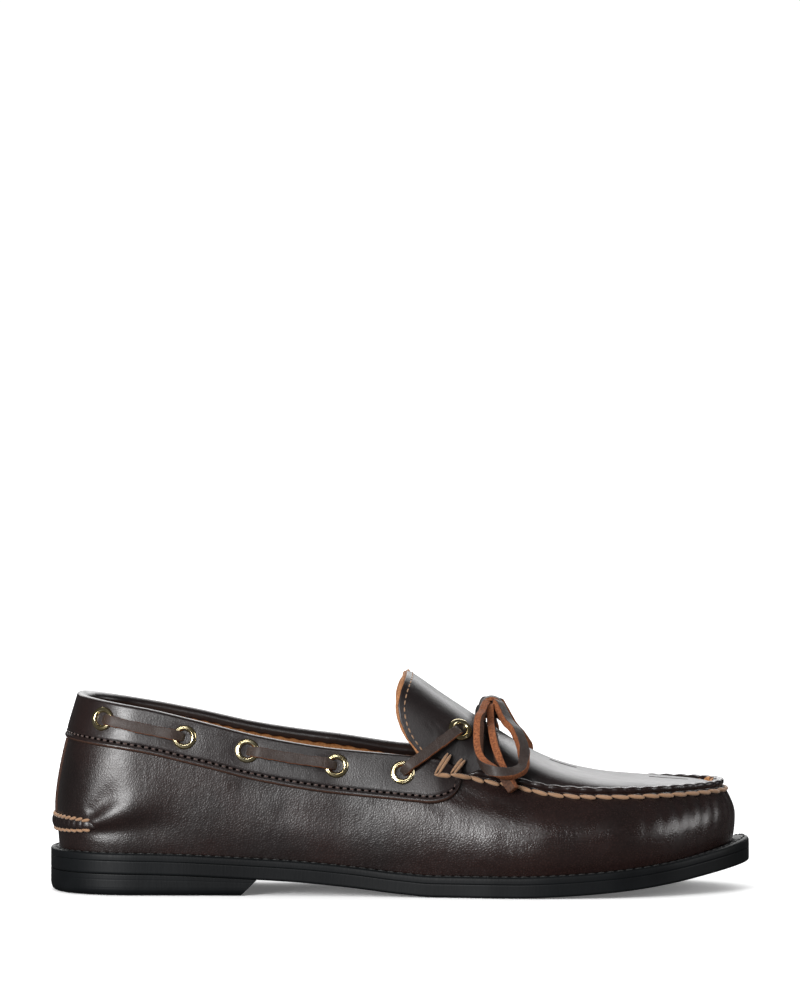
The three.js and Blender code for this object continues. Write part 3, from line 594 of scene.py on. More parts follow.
# %% Waxed leather
def waxed_leather(name, dark, warm, pebbles_per_metre, depth, creasing, roughness, bump_depth, polish=0.0):
    """depth and creasing weigh pebbles and creases. polish is how much glossier it is at the toe."""
    material, tree, shader, place = new_material(name, roughness)
    grain = add_group(
        tree, grain_group, place,
        Pebbles_per_metre=pebbles_per_metre, Pebble_depth=depth, Creasing=creasing,
    )
    patina = add_group(tree, patina_group, place)
    colour = blended(tree, patina.outputs["Broad"], dark, warm)
    pores = math_node(tree, "MULTIPLY", grain.outputs["Pores"], 0.55)
    colour = blended(tree, pores, colour, tuple(0.45 * channel for channel in dark))
    tree.links.new(colour, shader.inputs["Base Color"])
    rough = raised(tree, patina.outputs["Streaks"], 0.16, roughness - 0.08)
    split = node(tree, "ShaderNodeSeparateXYZ")
    tree.links.new(place, split.inputs[0])
    toe = remapped(tree, split.outputs["X"], *POLISH_X, polish)
    tree.links.new(math_node(tree, "SUBTRACT", rough, toe), shader.inputs["Roughness"])
    shader.inputs["Specular IOR Level"].default_value = 0.5
    shader.inputs["Coat Weight"].default_value = 0.12
    shader.inputs["Coat Roughness"].default_value = 0.32
    bumped(tree, shader, grain.outputs["Height"], bump_depth)
    return material


POLISH_X = (-30 * MM, 50 * MM)
quarter_leather, band_leather, plug_leather, lace_grain = (waxed_leather(*row) for row in (
    ("quarter_leather", (0.0085, 0.0052, 0.005), (0.02, 0.0092, 0.0078), 950.0, 0.7, 0.7, 0.38, 0.00005, 0.1),
    ("band_leather", (0.0085, 0.0054, 0.0054), (0.018, 0.0092, 0.0082), 1100.0, 0.5, 0.35, 0.34, 0.00005),
    ("plug_leather", (0.0085, 0.0054, 0.0056), (0.016, 0.0088, 0.0082), 1200.0, 0.5, 0.35, 0.43, 0.00005),
    ("lace_grain", (0.026, 0.014, 0.01), (0.05, 0.026, 0.017), 1500.0, 0.8, 1.2, 0.62, 0.00012),
))

# %% [markdown]
# ## Raw and tan leather
# Where leather is cut or split it shows its fibres: the lining, the edges of the tongue and of the laces
# and the seam up the heel. These are matt, warm and a little furry.

# %% Raw leather
def fibrous_leather(name, colour, deep, roughness, fibre_scale, bump_depth):
    material, tree, shader, place = new_material(name, roughness)
    fibres = noise(tree, place, fibre_scale, 4.0, 0.7)
    patina = add_group(tree, patina_group, place, Patches_per_metre=60.0)
    mixed = blended(tree, remapped(tree, fibres, 0.35, 0.65), deep, colour)
    shade = math_node(tree, "MULTIPLY", patina.outputs["Broad"], 0.4)
    tree.links.new(blended(tree, shade, mixed, deep), shader.inputs["Base Color"])
    shader.inputs["Specular IOR Level"].default_value = 0.25
    bumped(tree, shader, fibres, bump_depth)
    return material


lining_leather, raw_edge, seam_edge, tongue_edge, lace_flesh = (fibrous_leather(*row) for row in (
    ("lining_leather", (0.42, 0.2, 0.075), (0.22, 0.09, 0.03), 0.75, 900.0, 0.0001),
    ("raw_edge", (0.29, 0.1, 0.036), (0.1, 0.03, 0.012), 0.8, 1500.0, 0.0002),
    ("seam_edge", (0.07, 0.032, 0.02), (0.026, 0.012, 0.008), 0.75, 1500.0, 0.0002),
    ("tongue_edge", (0.4, 0.19, 0.085), (0.2, 0.085, 0.035), 0.75, 1500.0, 0.00015),
    ("lace_flesh", (0.11, 0.05, 0.028), (0.04, 0.02, 0.014), 0.85, 1300.0, 0.0002),
))

# %% [markdown]
# ## Rubber, brass and thread
# The sole is one black rubber with a dull skin, buffed on its sides. The eyelets are polished pale brass.
# The hand sewing is a thick waxed thread of two strands, so its material carries a fine twist.

# %% Rubber, brass and thread
def sole_rubber_material(name, side_marks):
    material, tree, shader, place = new_material(name, 0.5)
    patina = add_group(tree, patina_group, place, Patches_per_metre=40.0)
    colour = blended(tree, patina.outputs["Broad"], (0.0035, 0.004, 0.0046), (0.006, 0.0068, 0.0076))
    tree.links.new(colour, shader.inputs["Base Color"])
    buffed = noise(tree, scaled(tree, place, (1.0, 1.0, side_marks)), 1500.0, 3.0, 0.65)
    tree.links.new(raised(tree, buffed, 0.25, 0.36), shader.inputs["Roughness"])
    shader.inputs["Specular IOR Level"].default_value = 0.13
    bumped(tree, shader, buffed, 0.00006)
    return material


sole_rubber = sole_rubber_material("sole_rubber", 0.12)
midsole_rubber = sole_rubber_material("midsole_rubber", 0.3)

brass, tree, shader, place = new_material("eyelet_brass", 0.2, 1.0)
tarnish = add_group(tree, patina_group, place, Patches_per_metre=300.0)
gold = blended(tree, tarnish.outputs["Broad"], (0.62, 0.5, 0.26), (0.83, 0.73, 0.47))
tree.links.new(gold, shader.inputs["Base Color"])
tree.links.new(raised(tree, tarnish.outputs["Streaks"], 0.14, 0.1), shader.inputs["Roughness"])
bumped(tree, shader, tarnish.outputs["Streaks"], 0.00003)


def wave(tree, direction, scale, distortion, vector):
    settings = {"bands_direction": direction, "Scale": scale, "Distortion": distortion}
    made = node(tree, "ShaderNodeTexWave", wave_type="BANDS", Detail=2.0, **settings)
    tree.links.new(vector, made.inputs["Vector"])
    return made


def thread_material(name, light, dark, strands_per_metre, sheen=0.25):
    material, tree, shader, place = new_material(name, 0.62)
    twist = wave(tree, "DIAGONAL", strands_per_metre, 1.5, place)
    fuzz = noise(tree, place, 2200.0, 3.0, 0.7)
    tree.links.new(blended(tree, fuzz, dark, light), shader.inputs["Base Color"])
    shader.inputs["Sheen Weight"].default_value = sheen
    height = math_node(tree, "ADD", twist.outputs["Fac"], math_node(tree, "MULTIPLY", fuzz, 0.6))
    bumped(tree, shader, height, 0.00014)
    return material


tan_thread = thread_material("tan_thread", (0.34, 0.19, 0.095), (0.13, 0.063, 0.03), 170.0)
dark_thread = thread_material("dark_thread", (0.075, 0.036, 0.026), (0.03, 0.015, 0.011), 400.0)
black_thread = thread_material("black_thread", (0.006, 0.006, 0.006), (0.002, 0.002, 0.002), 400.0, 0.03)
# A needle hole's darkness is painted shade: matt black with no reflection, where the hole's shade falls.
painted_hole_shade, tree, shader, place = new_material("painted_hole_shade", 1.0)
shader.inputs["Base Color"].default_value = (0.0015, 0.001, 0.001, 1)
shader.inputs["Specular IOR Level"].default_value = 0.0
print("materials:", len(bpy.data.materials))

# %% [markdown]
# ## The sole
# A thin midsole and a thicker outsole share one outline, and a separate heel block sits under the back.
# Each is a closed plate: its section runs from the middle line out along the underside, up the edge and
# back over the top. The small bevels matter, because on black rubber only the edges catch the light.

# %% Sole plates
SOLE_COLUMNS = 420


def plate_sheet(name, rings, across=8):
    """rings holds, from the underside up, pairs of an inset and a height over X."""
    turns = np.linspace(0, 2 * math.pi, SOLE_COLUMNS + 1)

    def inset_of(inset):
        return inset(turns) if callable(inset) else inset

    def ring(inset, height):
        x, y = outline(turns, inset_of(inset))
        return stack(x, y, height(x))

    def middle(inset, height):
        x, y = outline(turns, inset_of(inset))
        far_x, far_y = outline(-turns, inset_of(inset))
        return stack((x + far_x) / 2, (y + far_y) / 2, height((x + far_x) / 2))

    first, last = rings[0], rings[-1]
    shares = np.linspace(0, 1, across)[:-1]
    rows = [mix(middle(*first), ring(*first), share) for share in shares]
    rows += [ring(*pair) for pair in rings]
    rows += [mix(middle(*last), ring(*last), share) for share in shares[::-1]]
    return sewn(sheet_on_form(name, np.stack(rows, axis=1)))


def above(height, extra):
    return lambda x: height(x) + extra


def rings_over(height, *pairs):
    """Rings that follow one surface, each with its inset and how far above the surface it lies."""
    return [(inset, above(height, extra)) for inset, extra in pairs]


outsole = plate_sheet(
    "rubber_outsole",
    rings_over(
        underside_z, (4.2, 0), (3.9, 0.9), (2.9, 0.9), (2.6, 0), (0.9, 0), (0.35, 0.15), (0.08, 0.45),
        (0, 0.9), (0, 1.2),
    ) + rings_over(outsole_top_z, (0, -0.6), (0, -0.16), (0.06, -0.04), (0.3, 0)),
)


def midsole_base_z(x):
    return outsole_top_z(x) + 0.04


def rounder_at_toe(inset, extra):
    """The lip at the toe leans in, and its top is rounder than the rest of the edge."""
    return lambda turns: inset + extra * lip_share(share_of_x(outline(turns, 0.0)[0]))


MIDSOLE_LIP = ((0, 0.05, -2.4), (0, 0.15, -1.9), (0, 0.75, -0.85), (0.1, 1.2, -0.5), (0.45, 1.6, -0.12),
               (0.75, 2.2, 0))
lip_pairs = [(rounder_at_toe(inset, extra), rise) for inset, extra, rise in MIDSOLE_LIP]
midsole = plate_sheet(
    "rubber_midsole",
    rings_over(midsole_base_z, (0.3, 0), (0.06, 0.04), (0, 0.16), (0, 0.6))
    + rings_over(midsole_top_z, *lip_pairs),
)

BREAST_FOOT_X = x_of_share(0.272)
BREAST_SLANT = 9


def heel_top_z(x):
    return np.maximum(underside_z(x) - 0.04, 3.5)


def heel_level(share):
    return lambda x: mix(3.0, heel_top_z(x), share)


def floor_z(x):
    return 0 * x


HEEL_SIDE = ((0, 0.03), (0, 0.1), (0, 0.52), (0, 0.58), (0.04, 0.62), (0, 0.66), (0, 0.72), (0, 0.93),
             (0, 0.99))
heel = plate_sheet(
    "rubber_heel",
    rings_over(floor_z, (2.4, 0), (1.5, 0.12), (0.75, 0.75), (0.25, 1.8), (0.04, 2.75), (0.06, 2.9))
    + [(inset, heel_level(share)) for inset, share in HEEL_SIDE] + [(0.04, heel_top_z)],
)
breast_rise = float(underside_z(np.array(BREAST_FOOT_X + BREAST_SLANT)))
breast = {"plane_co": (BREAST_FOOT_X * MM, 0, 0), "plane_no": (breast_rise, 0, -BREAST_SLANT)}
edit_all(heel, (bpy.ops.mesh.bisect, {**breast, "use_fill": True, "clear_outer": True}))
bpy.ops.object.shade_smooth_by_angle(angle=math.radians(50))

# %% [markdown]
# ## A tread that grips a wet deck
# The underside isn't seen in the photo. Such soles are cut with fine wavy slits, so the flat underside
# gets them as a height pattern, inside the groove that runs round its edge.

# %% Tread
SLITS_PER_METRE = 1000 / 3.2 / 6.28
WAVES_PER_METRE = 1000 / 8.0 / 6.28
WAVE_REACH = 2.2 * MM
tread, tree, shader, place = new_material("sole_tread", 0.6)
sideways = wave(tree, "Y", WAVES_PER_METRE, 0.0, place)
wobble = node(tree, "ShaderNodeVectorMath", operation="ADD")
tree.links.new(scaled(tree, sideways.outputs["Color"], (WAVE_REACH,) * 3), wobble.inputs[0])
tree.links.new(place, wobble.inputs[1])
slits = wave(tree, "X", SLITS_PER_METRE, 0.0, wobble.outputs[0])
# Darker in each slit: painted shade in the cuts, besides their height in the bump.
slit_depth_and_shade = remapped(tree, slits.outputs["Fac"], 0.0, 0.16)
tree.links.new(blended(tree, slit_depth_and_shade, (0.002, 0.002, 0.002), (0.012, 0.013, 0.014)), shader.inputs["Base Color"])
bumped(tree, shader, slit_depth_and_shade, 0.0006)


def paint_below(piece, index, steepest=-0.85):
    for polygon in piece.data.polygons:
        if polygon.normal.z < steepest:
            polygon.material_index = index


finish_piece(outsole, [sole_rubber, tread], ["outsole"])
paint_below(outsole, 1)
finish_piece(heel, [sole_rubber, tread], ["heel"])
paint_below(heel, 1)
finish_piece(midsole, [midsole_rubber], ["midsole"])

# %% [markdown]
# ## The sewn seam round the plug
# The vamp is gathered onto the plug, stitch by stitch. Everything near the seam follows the stitches: the
# pinches in the ridge, the pleats under it and the thread itself. So the seam is measured once, along its
# own length, and cut into equal stitches.

# %% Measure the seam
SEAM_START = 0.589
STITCH_AIM = 6.7
seam_turns = np.linspace(turn_of_share(SEAM_START, -1), 2 * math.pi - turn_of_share(SEAM_START, -1), 1200)
seam_lengths = lengths_along(top_edge(seam_turns, 0.0, 0.0))
STITCHES = int(round(seam_lengths[-1] / STITCH_AIM))
STITCH = seam_lengths[-1] / STITCHES
print("seam:", round(seam_lengths[-1]), "mm in", STITCHES, "stitches of", round(STITCH, 2), "mm")


def seam_distance(turn):
    return np.interp(np.mod(turn, 2 * math.pi), seam_turns, seam_lengths)


def seam_turn(distance):
    return np.interp(distance, seam_lengths, seam_turns)


def pinch(distance, sharpness=2.0):
    """1 where a stitch goes in, 0 midway between."""
    return (0.5 + 0.5 * np.cos(2 * math.pi * distance / STITCH)) ** sharpness


# %% [markdown]
# ## Folds
# Leather remembers how it was lasted and worn. Each main fold is a soft trough or ridge along a line,
# placed from the side, in millimetres. It starts and ends at nothing.

# %% Fold table
FOLD_COLUMNS = ("x0", "z0", "x1", "z1", "narrow", "wide", "depth")
wall_folds = table_of(FOLD_COLUMNS, [
    (-130.0, 28.5, -94.0, 44.0, 2.4, 9.5, 1.15),
    (-129.0, 33.0, -116.0, 47.0, 3.0, 6.0, -0.95),
    (-129.0, 25.5, -82.0, 30.0, 2.2, 8.0, -0.85),
    (-70.0, 46.0, -28.0, 38.0, 4.0, 8.0, -0.35),
    (-52.0, 36.0, -8.0, 27.0, 4.0, 7.0, -0.3),
    (6.0, 44.0, 24.0, 33.0, 1.6, 3.6, -0.4),
    (13.0, 45.5, 33.0, 37.5, 1.6, 3.4, -0.45),
    (24.0, 45.0, 44.0, 35.0, 1.8, 4.0, -0.35),
    (38.0, 41.0, 56.0, 31.0, 1.8, 4.4, -0.25),
    (-12.0, 39.5, 6.0, 33.0, 1.8, 3.6, -0.25),
])


def folded(points, folds):
    """The height of the folds at points, seen from the side."""
    x, z = points[..., 0], points[..., 2]
    height = np.zeros(x.shape)
    for fold in folds:
        along_x, along_z = fold["x1"] - fold["x0"], fold["z1"] - fold["z0"]
        length = math.hypot(along_x, along_z)
        t = ((x - fold["x0"]) * along_x + (z - fold["z0"]) * along_z) / length ** 2
        away = ((x - fold["x0"]) * along_z - (z - fold["z0"]) * along_x) / length
        width = mix(fold["narrow"], fold["wide"], np.clip(t, 0, 1))
        ends = smoothstep(t, -0.08, 0.12) * (1 - smoothstep(t, 0.45, 1.05))
        height += fold["depth"] * ends * np.exp(-((away / width) ** 2))
    return height


# %% [markdown]
# ## The vamp and quarters
# One piece of leather wraps the foot from the heel round the toe. Its section runs up the outside, over
# the ridge or the rim, and down the inside, so wall and lining side close into one hollow body.

# %% Vamp and quarters
VAMP_COLUMNS = 860
OUTSIDE_ROWS, LINING_ROWS = 66, 16
FOOT_LEVEL = -0.012
vamp_turns = np.linspace(0, 2 * math.pi, VAMP_COLUMNS + 1)


def toe_pleats(turn, level):
    """Pleats under the seam, which lean, and grow deeper and longer towards the toe."""
    at = share_of_turn(turn)
    below = (1 - level) * (rim_z(turn) - foot_z(turn))
    distance = seam_distance(turn)
    lean = np.where(np.sin(turn) >= 0, 1, -1) * below * 0.25
    strength = mix(0.16, 0.75, smoothstep(at, 0.68, 0.92)) * smoothstep(at, SEAM_START, 0.63)
    reach = mix(5.0, 10.5, smoothstep(at, 0.7, 0.95))
    uneven = 0.75 + 0.25 * np.sin(distance * 0.61) * np.sin(distance * 0.23 + 1)
    return -strength * uneven * pinch(distance + lean, 1.6) * np.exp(-((below / reach) ** 1.4))


def vamp_relief(turn, level):
    base = wall_point(turn, level)
    return folded(base, wall_folds) + toe_pleats(turn, level)


def ridge_share(turn):
    return smoothstep(share_of_turn(turn), 0.580, 0.605)


# The ridge's section: inset from the wall's top edge and height over it
RIDGE_SECTION = [
    (0.35, 0.25), (0.62, 0.75), (0.3, 1.25), (0.02, 1.75), (-0.05, 2.35), (0.0, 2.9), (0.3, 3.35),
    (0.9, 3.62), (1.45, 3.58), (1.7, 3.25), (1.95, 3.55), (2.5, 3.6), (3.0, 3.3), (3.3, 2.6), (3.5, 1.4),
]


def vamp_top(turn, step, inset, height):
    """A point of the top: the rim under the band behind, the ridge in front."""
    count = len(RIDGE_SECTION)
    angle = math.pi * (step + 0.5) / count
    normal = wall_normal(turn, np.ones_like(turn))
    edge = wall_point(turn, np.ones_like(turn))
    up = np.array([0.0, 0.0, 1.0])
    half = RIM_WALL / 2
    rim = edge - normal * (half - half * math.cos(angle)) + up * (RIM_ROUND * math.sin(angle))
    dent = pinch(seam_distance(turn), 1.5) * smoothstep(share_of_turn(turn), SEAM_START, 0.62)
    outer = 1 if inset < 1.6 else 0.3
    ridge = top_edge(turn, inset + 0.42 * outer * dent, height * (1 - 0.1 * dent))
    return mix(rim, ridge, ridge_share(turn)[..., None])


def vamp_section():
    rows = []
    for level in np.linspace(FOOT_LEVEL, 1, OUTSIDE_ROWS):
        levels = np.full_like(vamp_turns, level)
        rows.append(wall(vamp_turns, levels, vamp_relief(vamp_turns, levels)))
    for step, (inset, height) in enumerate(RIDGE_SECTION):
        rows.append(vamp_top(vamp_turns, step, inset, height))
    for level in np.linspace(1, FOOT_LEVEL, LINING_ROWS):
        levels = np.full_like(vamp_turns, level)
        inward = mix(WALL, 3.6, ridge_share(vamp_turns) * smoothstep(level, 0.8, 1.0))
        rows.append(wall(vamp_turns, levels, -inward))
    rows.append(rows[0])
    return np.stack(rows, axis=1)


vamp = sewn(sheet_on_form("vamp_and_quarters", vamp_section()))
finish_piece(vamp, [quarter_leather, lining_leather], ["upper"])
lining_row = OUTSIDE_ROWS + len(RIDGE_SECTION)
paint(vamp, 1, rows=(lining_row, lining_row + LINING_ROWS))

# %% [markdown]
# ## The plug and the tongue
# Over the instep lies one smooth piece: in front it is the plug, and behind the throat it runs on as the
# tongue. It is an arch that is pulled down to the seam on both sides. The tongue's rear edge is a curve
# that was cut by hand, so every row of the sheet starts where the arch meets that curve.

# %% Plug and tongue
TONGUE_EDGE = table_of(("at", "height"), [
    (0.5600, 0.560), (0.5480, 0.590), (0.5283, 0.648), (0.5107, 0.716),
    (0.5000, 0.796), (0.4969, 0.865), (0.5014, 0.933), (0.5110, 1.010),
])
edge_heights = [row["height"] * TONGUE_HEIGHT for row in TONGUE_EDGE]
edge_places = [x_of_share(row["at"]) for row in TONGUE_EDGE]
TUCK = 5.0


def arch_point(turn, angle):
    """A point of the plug. Below an angle of 0 it goes straight down, inside the collar."""
    point = lid_point(turn, np.maximum(angle, 0.0))
    point[..., 2] += np.minimum(angle, 0.0) * TUCK
    return point


def arch_normal(turn, angle):
    step = 0.015
    along = lid_point(turn + step, np.maximum(angle, 0)) - lid_point(turn - step, np.maximum(angle, 0))
    high = np.minimum(np.maximum(angle, 0) + step, math.pi / 2 - 0.001)
    up = lid_point(turn, high) - lid_point(turn, high - 2 * step)
    return unit(np.cross(along, up))


def arch_skin(sign, turns, angles):
    """Points of the arch on one side, and normals that look up."""
    normals = arch_normal(sign * turns, angles) * sign
    normals[..., 2] = np.abs(normals[..., 2])
    return arch_point(sign * turns, angles), normals


def tongue_start(angle):
    """The turn, on the outer side, where the arch at this angle meets the tongue's rear edge."""
    turns = np.linspace(turn_of_share(0.47, -1), turn_of_share(0.6, -1), 600)
    points = lid_point(turns, np.full_like(turns, max(angle, 0.0)))
    inside = points[:, 0] >= np.interp(points[:, 2], edge_heights, edge_places)
    return turns[np.argmax(inside)]


PLUG_COLUMNS, PLUG_ROWS = 330, 46
plug_angles = np.concatenate([[-1.0, -0.6, -0.25], np.linspace(0, 1, PLUG_ROWS) ** 1.15 * math.pi / 2])
plug_folds = table_of(FOLD_COLUMNS, [
    (13.0, 73.0, 21.0, 64.0, 0.9, 1.5, -0.16), (15.5, 74.0, 24.0, 65.5, 0.9, 1.4, -0.14),
    (10.5, 72.0, 17.0, 65.5, 0.9, 1.4, -0.12), (28.0, 66.0, 34.0, 58.0, 1.6, 3.4, -0.2),
    (60.0, 50.0, 74.0, 45.5, 2.2, 5.0, -0.1), (100.0, 44.0, 124.0, 43.6, 2.0, 3.5, -0.1),
])


def plug_sheet():
    starts = np.array([tongue_start(angle) for angle in plug_angles])
    shares = np.linspace(0, 1, PLUG_COLUMNS + 1)
    halves = []
    for sign in (1, -1):
        turns = mix(starts[None, :], math.pi, shares[:, None])
        angles = np.broadcast_to(plug_angles, turns.shape)
        points, normals = arch_skin(sign, turns, angles)
        height = folded(points, plug_folds)
        in_front = smoothstep(share_of_turn(turns), 0.6, 0.66)
        near_ridge = hump(np.maximum(angles, 0), 0, 0.16) * in_front
        height = height + near_ridge * (0.5 - 0.35 * pinch(seam_distance(sign * turns)))
        halves.append(points + normals * height[..., None] * smoothstep(angles, -0.2, 0.2)[..., None])
    return np.concatenate([halves[0], halves[1][:, ::-1]], axis=1)


plug_points = plug_sheet()
plug = sewn(sheet_on_form("plug_and_tongue", plug_points))
if max(plug.data.polygons, key=lambda face: face.center.z).normal.z < 0:
    edit_all(plug, (bpy.ops.mesh.flip_normals, {}))
thick = plug.modifiers.new("leather", "SOLIDIFY")
thick.thickness = TONGUE_THICKNESS * 0.9 * MM
thick.offset = -1
thick.use_even_offset = False
thick.material_offset = 1
thick.material_offset_rim = 2
for material in (plug_leather, lining_leather, tongue_edge):
    plug.data.materials.append(material)
choose(plug)
bpy.ops.object.modifier_apply(modifier=thick.name)
plug_faces = [face.material_index for face in plug.data.polygons]
finish_piece(plug, [plug_leather, lining_leather, tongue_edge], ["tongue"])
plug.data.polygons.foreach_set("material_index", plug_faces)

# %% [markdown]
# ## The collar band
# A softer strip covers the rim. Its lower edge is folded under and sewn, it rolls over the top, and inside
# it ends a few millimetres down in a pinked edge. Its front corners are round. The sheet is addressed by
# how far it has come: 0 at the fold, 1 at the rim, then over the rim and down the inside.

# %% Collar band
BAND_FRONT_X = x_of_share(0.581)
BAND_CORNER_X = BAND_FRONT_X - 13
STITCH_ROW = 2.7
BAND_CLEAR = 0.2
HEM = 0.9
PINKED_DEPTH = 2.0
PINKING = 2.4
CAP_LENGTH = math.pi * (RIM_WALL / 2 + BAND_SWELL) * 0.8
# Millimetres of rim for one radian of turn, on average and at the band's front
RIM_RADIUS = 60
FRONT_RADIUS = 140


def band_top_z(turn):
    return rim_z(turn) + RIM_ROUND + BAND_SWELL


def band_low_z(turn):
    """The folded edge, which turns up at the front in a round corner."""
    x = np.minimum(x_of_share(share_of_turn(turn)), BAND_FRONT_X)
    before_corner = turn_of_share(share_of_x(np.minimum(x, BAND_CORNER_X)), -1)
    corner_z = band_top_z(before_corner) - BAND_DEPTH
    share = np.clip((x - BAND_CORNER_X) / (BAND_FRONT_X - BAND_CORNER_X), 0, 1)
    t = 1 - (1 - share) ** (1 / 1.8)
    return corner_z + BAND_DEPTH * 0.53 * t ** 2.2


def band_height(turn):
    """From the fold up to the upper's rim, under the roll."""
    return rim_z(turn) - band_low_z(turn)


def band_point(turn, along, off):
    """along is millimetres from the fold up the outside. Past the rim it goes over and down the inside."""
    height = band_height(turn)
    up_to_rim = np.clip(along, 0, height)
    outside = wall(turn, level_of(turn, band_low_z(turn) + up_to_rim), off)
    ones = np.ones_like(turn)
    normal, edge = wall_normal(turn, ones), wall_point(turn, ones)
    half = RIM_WALL / 2
    angle = np.clip((along - height) / CAP_LENGTH, 0, 1) * math.pi
    up = np.array([0.0, 0.0, 1.0])
    across, rise = half - (half + off) * np.cos(angle), (RIM_ROUND + off) * np.sin(angle)
    cap = edge - normal * across[..., None] + up * rise[..., None]
    down = np.clip(along - height - CAP_LENGTH, 0, None)
    inside = wall(turn, level_of(turn, rim_z(turn) - down), -(RIM_WALL + off))
    point = np.where((along <= height)[..., None], outside, cap)
    return np.where((along > height + CAP_LENGTH)[..., None], inside, point)


band_front_turn = float(turn_of_share(share_of_x(BAND_FRONT_X), -1))
half_turns = np.linspace(0, band_front_turn, 381)
band_turns = np.concatenate([-half_turns[::-1], half_turns[1:]])
eyelet_places = []


def band_relief(along, points):
    """The groove of the stitches, the swell of the fold and a hollow round each eyelet."""
    height = -0.34 * hump(along, STITCH_ROW, 0.8) + 0.22 * hump(along, 1.0, 0.8)
    for place in eyelet_places:
        height = height - 0.45 * hump(np.linalg.norm(points - place, axis=-1), 0, 6.2)
    return height


def band_sheet():
    turns = band_turns
    height = band_height(turns)
    pinked = np.abs(np.mod(turns * RIM_RADIUS / PINKING, 1) - 0.5) * 1.3
    total = height + CAP_LENGTH + PINKED_DEPTH + pinked
    front = np.clip((band_front_turn - np.abs(turns)) * FRONT_RADIUS / HEM, 0, 1)
    end_round = np.sqrt(1 - (1 - front) ** 2)
    rows = []
    for share in np.concatenate([np.linspace(0, 0.12, 12), np.linspace(0.12, 1, 62)[1:]]):
        along = total * share
        hem_share = np.clip(along / HEM, 0, 1)
        hem = np.sqrt(1 - (1 - hem_share) ** 2)
        inner_end = np.clip((total - along) / 0.5, 0, 1)
        base = band_point(turns, along, np.full_like(turns, BAND_SWELL))
        swell = mix(BAND_CLEAR, BAND_SWELL, hem * end_round * np.sqrt(1 - (1 - inner_end) ** 2))
        relief = band_relief(along, base) * end_round * smoothstep(height - along, -2, 3)
        rows.append(band_point(turns, along, swell + relief))
    for share in np.linspace(1, 0, 14):
        rows.append(band_point(turns, total * share, np.full_like(turns, BAND_CLEAR)))
    return np.stack(rows, axis=1)


# %% [markdown]
# ## Where the eyelets sit
# Five eyelets a side go through the band and one through the plug. Each is found by its share of the
# shoe's length and its height on the band, and gets the leather's normal there as its axis.

# %% Eyelet seats
BAND_EYELETS = (
    ("heel", 0.076, 0.61), ("rear", 0.191, 0.56), ("middle", 0.281, 0.61), ("fore", 0.409, 0.61),
    ("throat", 0.504, 0.60),
)
PLUG_EYELET_AT, PLUG_EYELET_ANGLE = 0.586, 0.62
FLANGE_RADIUS = 5.1
BORE_RADIUS = 2.7
SIDES = (("outer", -1), ("inner", 1))


def solve_turn(place, side, x):
    """The turn on one side whose place has this X."""
    low, high = 0.01, math.pi - 0.01
    for _ in range(40):
        middle = (low + high) / 2
        if place(np.array(-side * middle))[0] < x:
            low = middle
        else:
            high = middle
    return np.array(-side * low)


def on_wall(side, x, z, swell):
    turn = solve_turn(lambda t: wall_point(t, level_of(t, z)), side, x)
    level = level_of(turn, z)
    return wall(turn, level, swell), wall_normal(turn, level)


def on_plug(side, x, angle):
    turn = solve_turn(lambda t: top_edge(t, RIDGE_WIDTH, 0.0), side, x)
    normal = arch_normal(turn, np.array(angle))
    return lid_point(turn, np.array(angle)), normal * np.sign(normal[1] * side)


seats = {}
for side_name, side in SIDES:
    for name, at, level in BAND_EYELETS:
        top = float(band_top_z(turn_of_share(at, -1)))
        seat = on_wall(side, x_of_share(at), mix(top - BAND_DEPTH, top, level), BAND_SWELL)
        seats[name + "_" + side_name] = seat
        eyelet_places.append(seat[0])
    seats["plug_" + side_name] = on_plug(side, x_of_share(PLUG_EYELET_AT), PLUG_EYELET_ANGLE)
print("eyelets:", len(seats))

# %% Sew the band on
band = sewn(sheet_on_form("collar_band_leather", band_sheet()))
finish_piece(band, [band_leather, seam_edge], ["collar_band"])
paint(band, 1, rows=(0, 3))

# %% [markdown]
# ## Brass eyelets
# An eyelet is a turned part, so its section is drawn once as a short line and spun round its axis: a
# rolled flange, a throat and a barrel. The flange is left plain, with the fine ring where the die closed.

# %% Eyelets
EYELET_SECTION = [
    (BORE_RADIUS, -3.2), (BORE_RADIUS, -0.3), (2.85, 0.35), (3.15, 0.75), (3.55, 0.92), (3.95, 0.86),
    (4.1, 0.78), (4.3, 0.84), (4.65, 0.72), (4.95, 0.42), (FLANGE_RADIUS, 0.05), (4.95, -0.15), (3.3, -0.1),
    (3.3, -3.2),
]
deselect()
bpy.ops.mesh.primitive_plane_add(size=1)
eyelet_model = bpy.context.active_object
eyelet_model.name = "eyelet_model"
eyelet_model.data.clear_geometry()
eyelet_model.data.from_pydata(
    [(radius * MM, 0, height * MM) for radius, height in EYELET_SECTION],
    [(i, (i + 1) % len(EYELET_SECTION)) for i in range(len(EYELET_SECTION))], [],
)
edit_all(
    eyelet_model,
    (bpy.ops.mesh.spin, {"steps": 48, "angle": 2 * math.pi, "center": (0, 0, 0), "axis": (0, 0, 1)}),
    (bpy.ops.mesh.remove_doubles, {"threshold": 0.004 * MM}),
    (bpy.ops.mesh.normals_make_consistent, {"inside": False}),
)
bpy.ops.object.shade_smooth()

for name, (place, normal) in seats.items():
    turned = Vector(normal).to_track_quat("Z", "Y").to_matrix().to_4x4()
    lift = 0.15 if name.startswith("plug") else -0.15
    matrix = Matrix.Translation(Vector(place + normal * lift) * MM) @ turned
    eyelet = place_copy(eyelet_model, matrix)
    eyelet.name = eyelet.data.name = "brass_eyelet_" + name
    finish_piece(eyelet, [brass], ["eyelet_" + name])
bpy.data.objects.remove(eyelet_model)

# %% [markdown]
# ## Lashings at the throat
# Behind the last whip stitch, two doubled threads tie the band to the plug, and two level stitches close
# the corner. They are read off the photo in its pixels and laid on whatever leather a ray meets there.

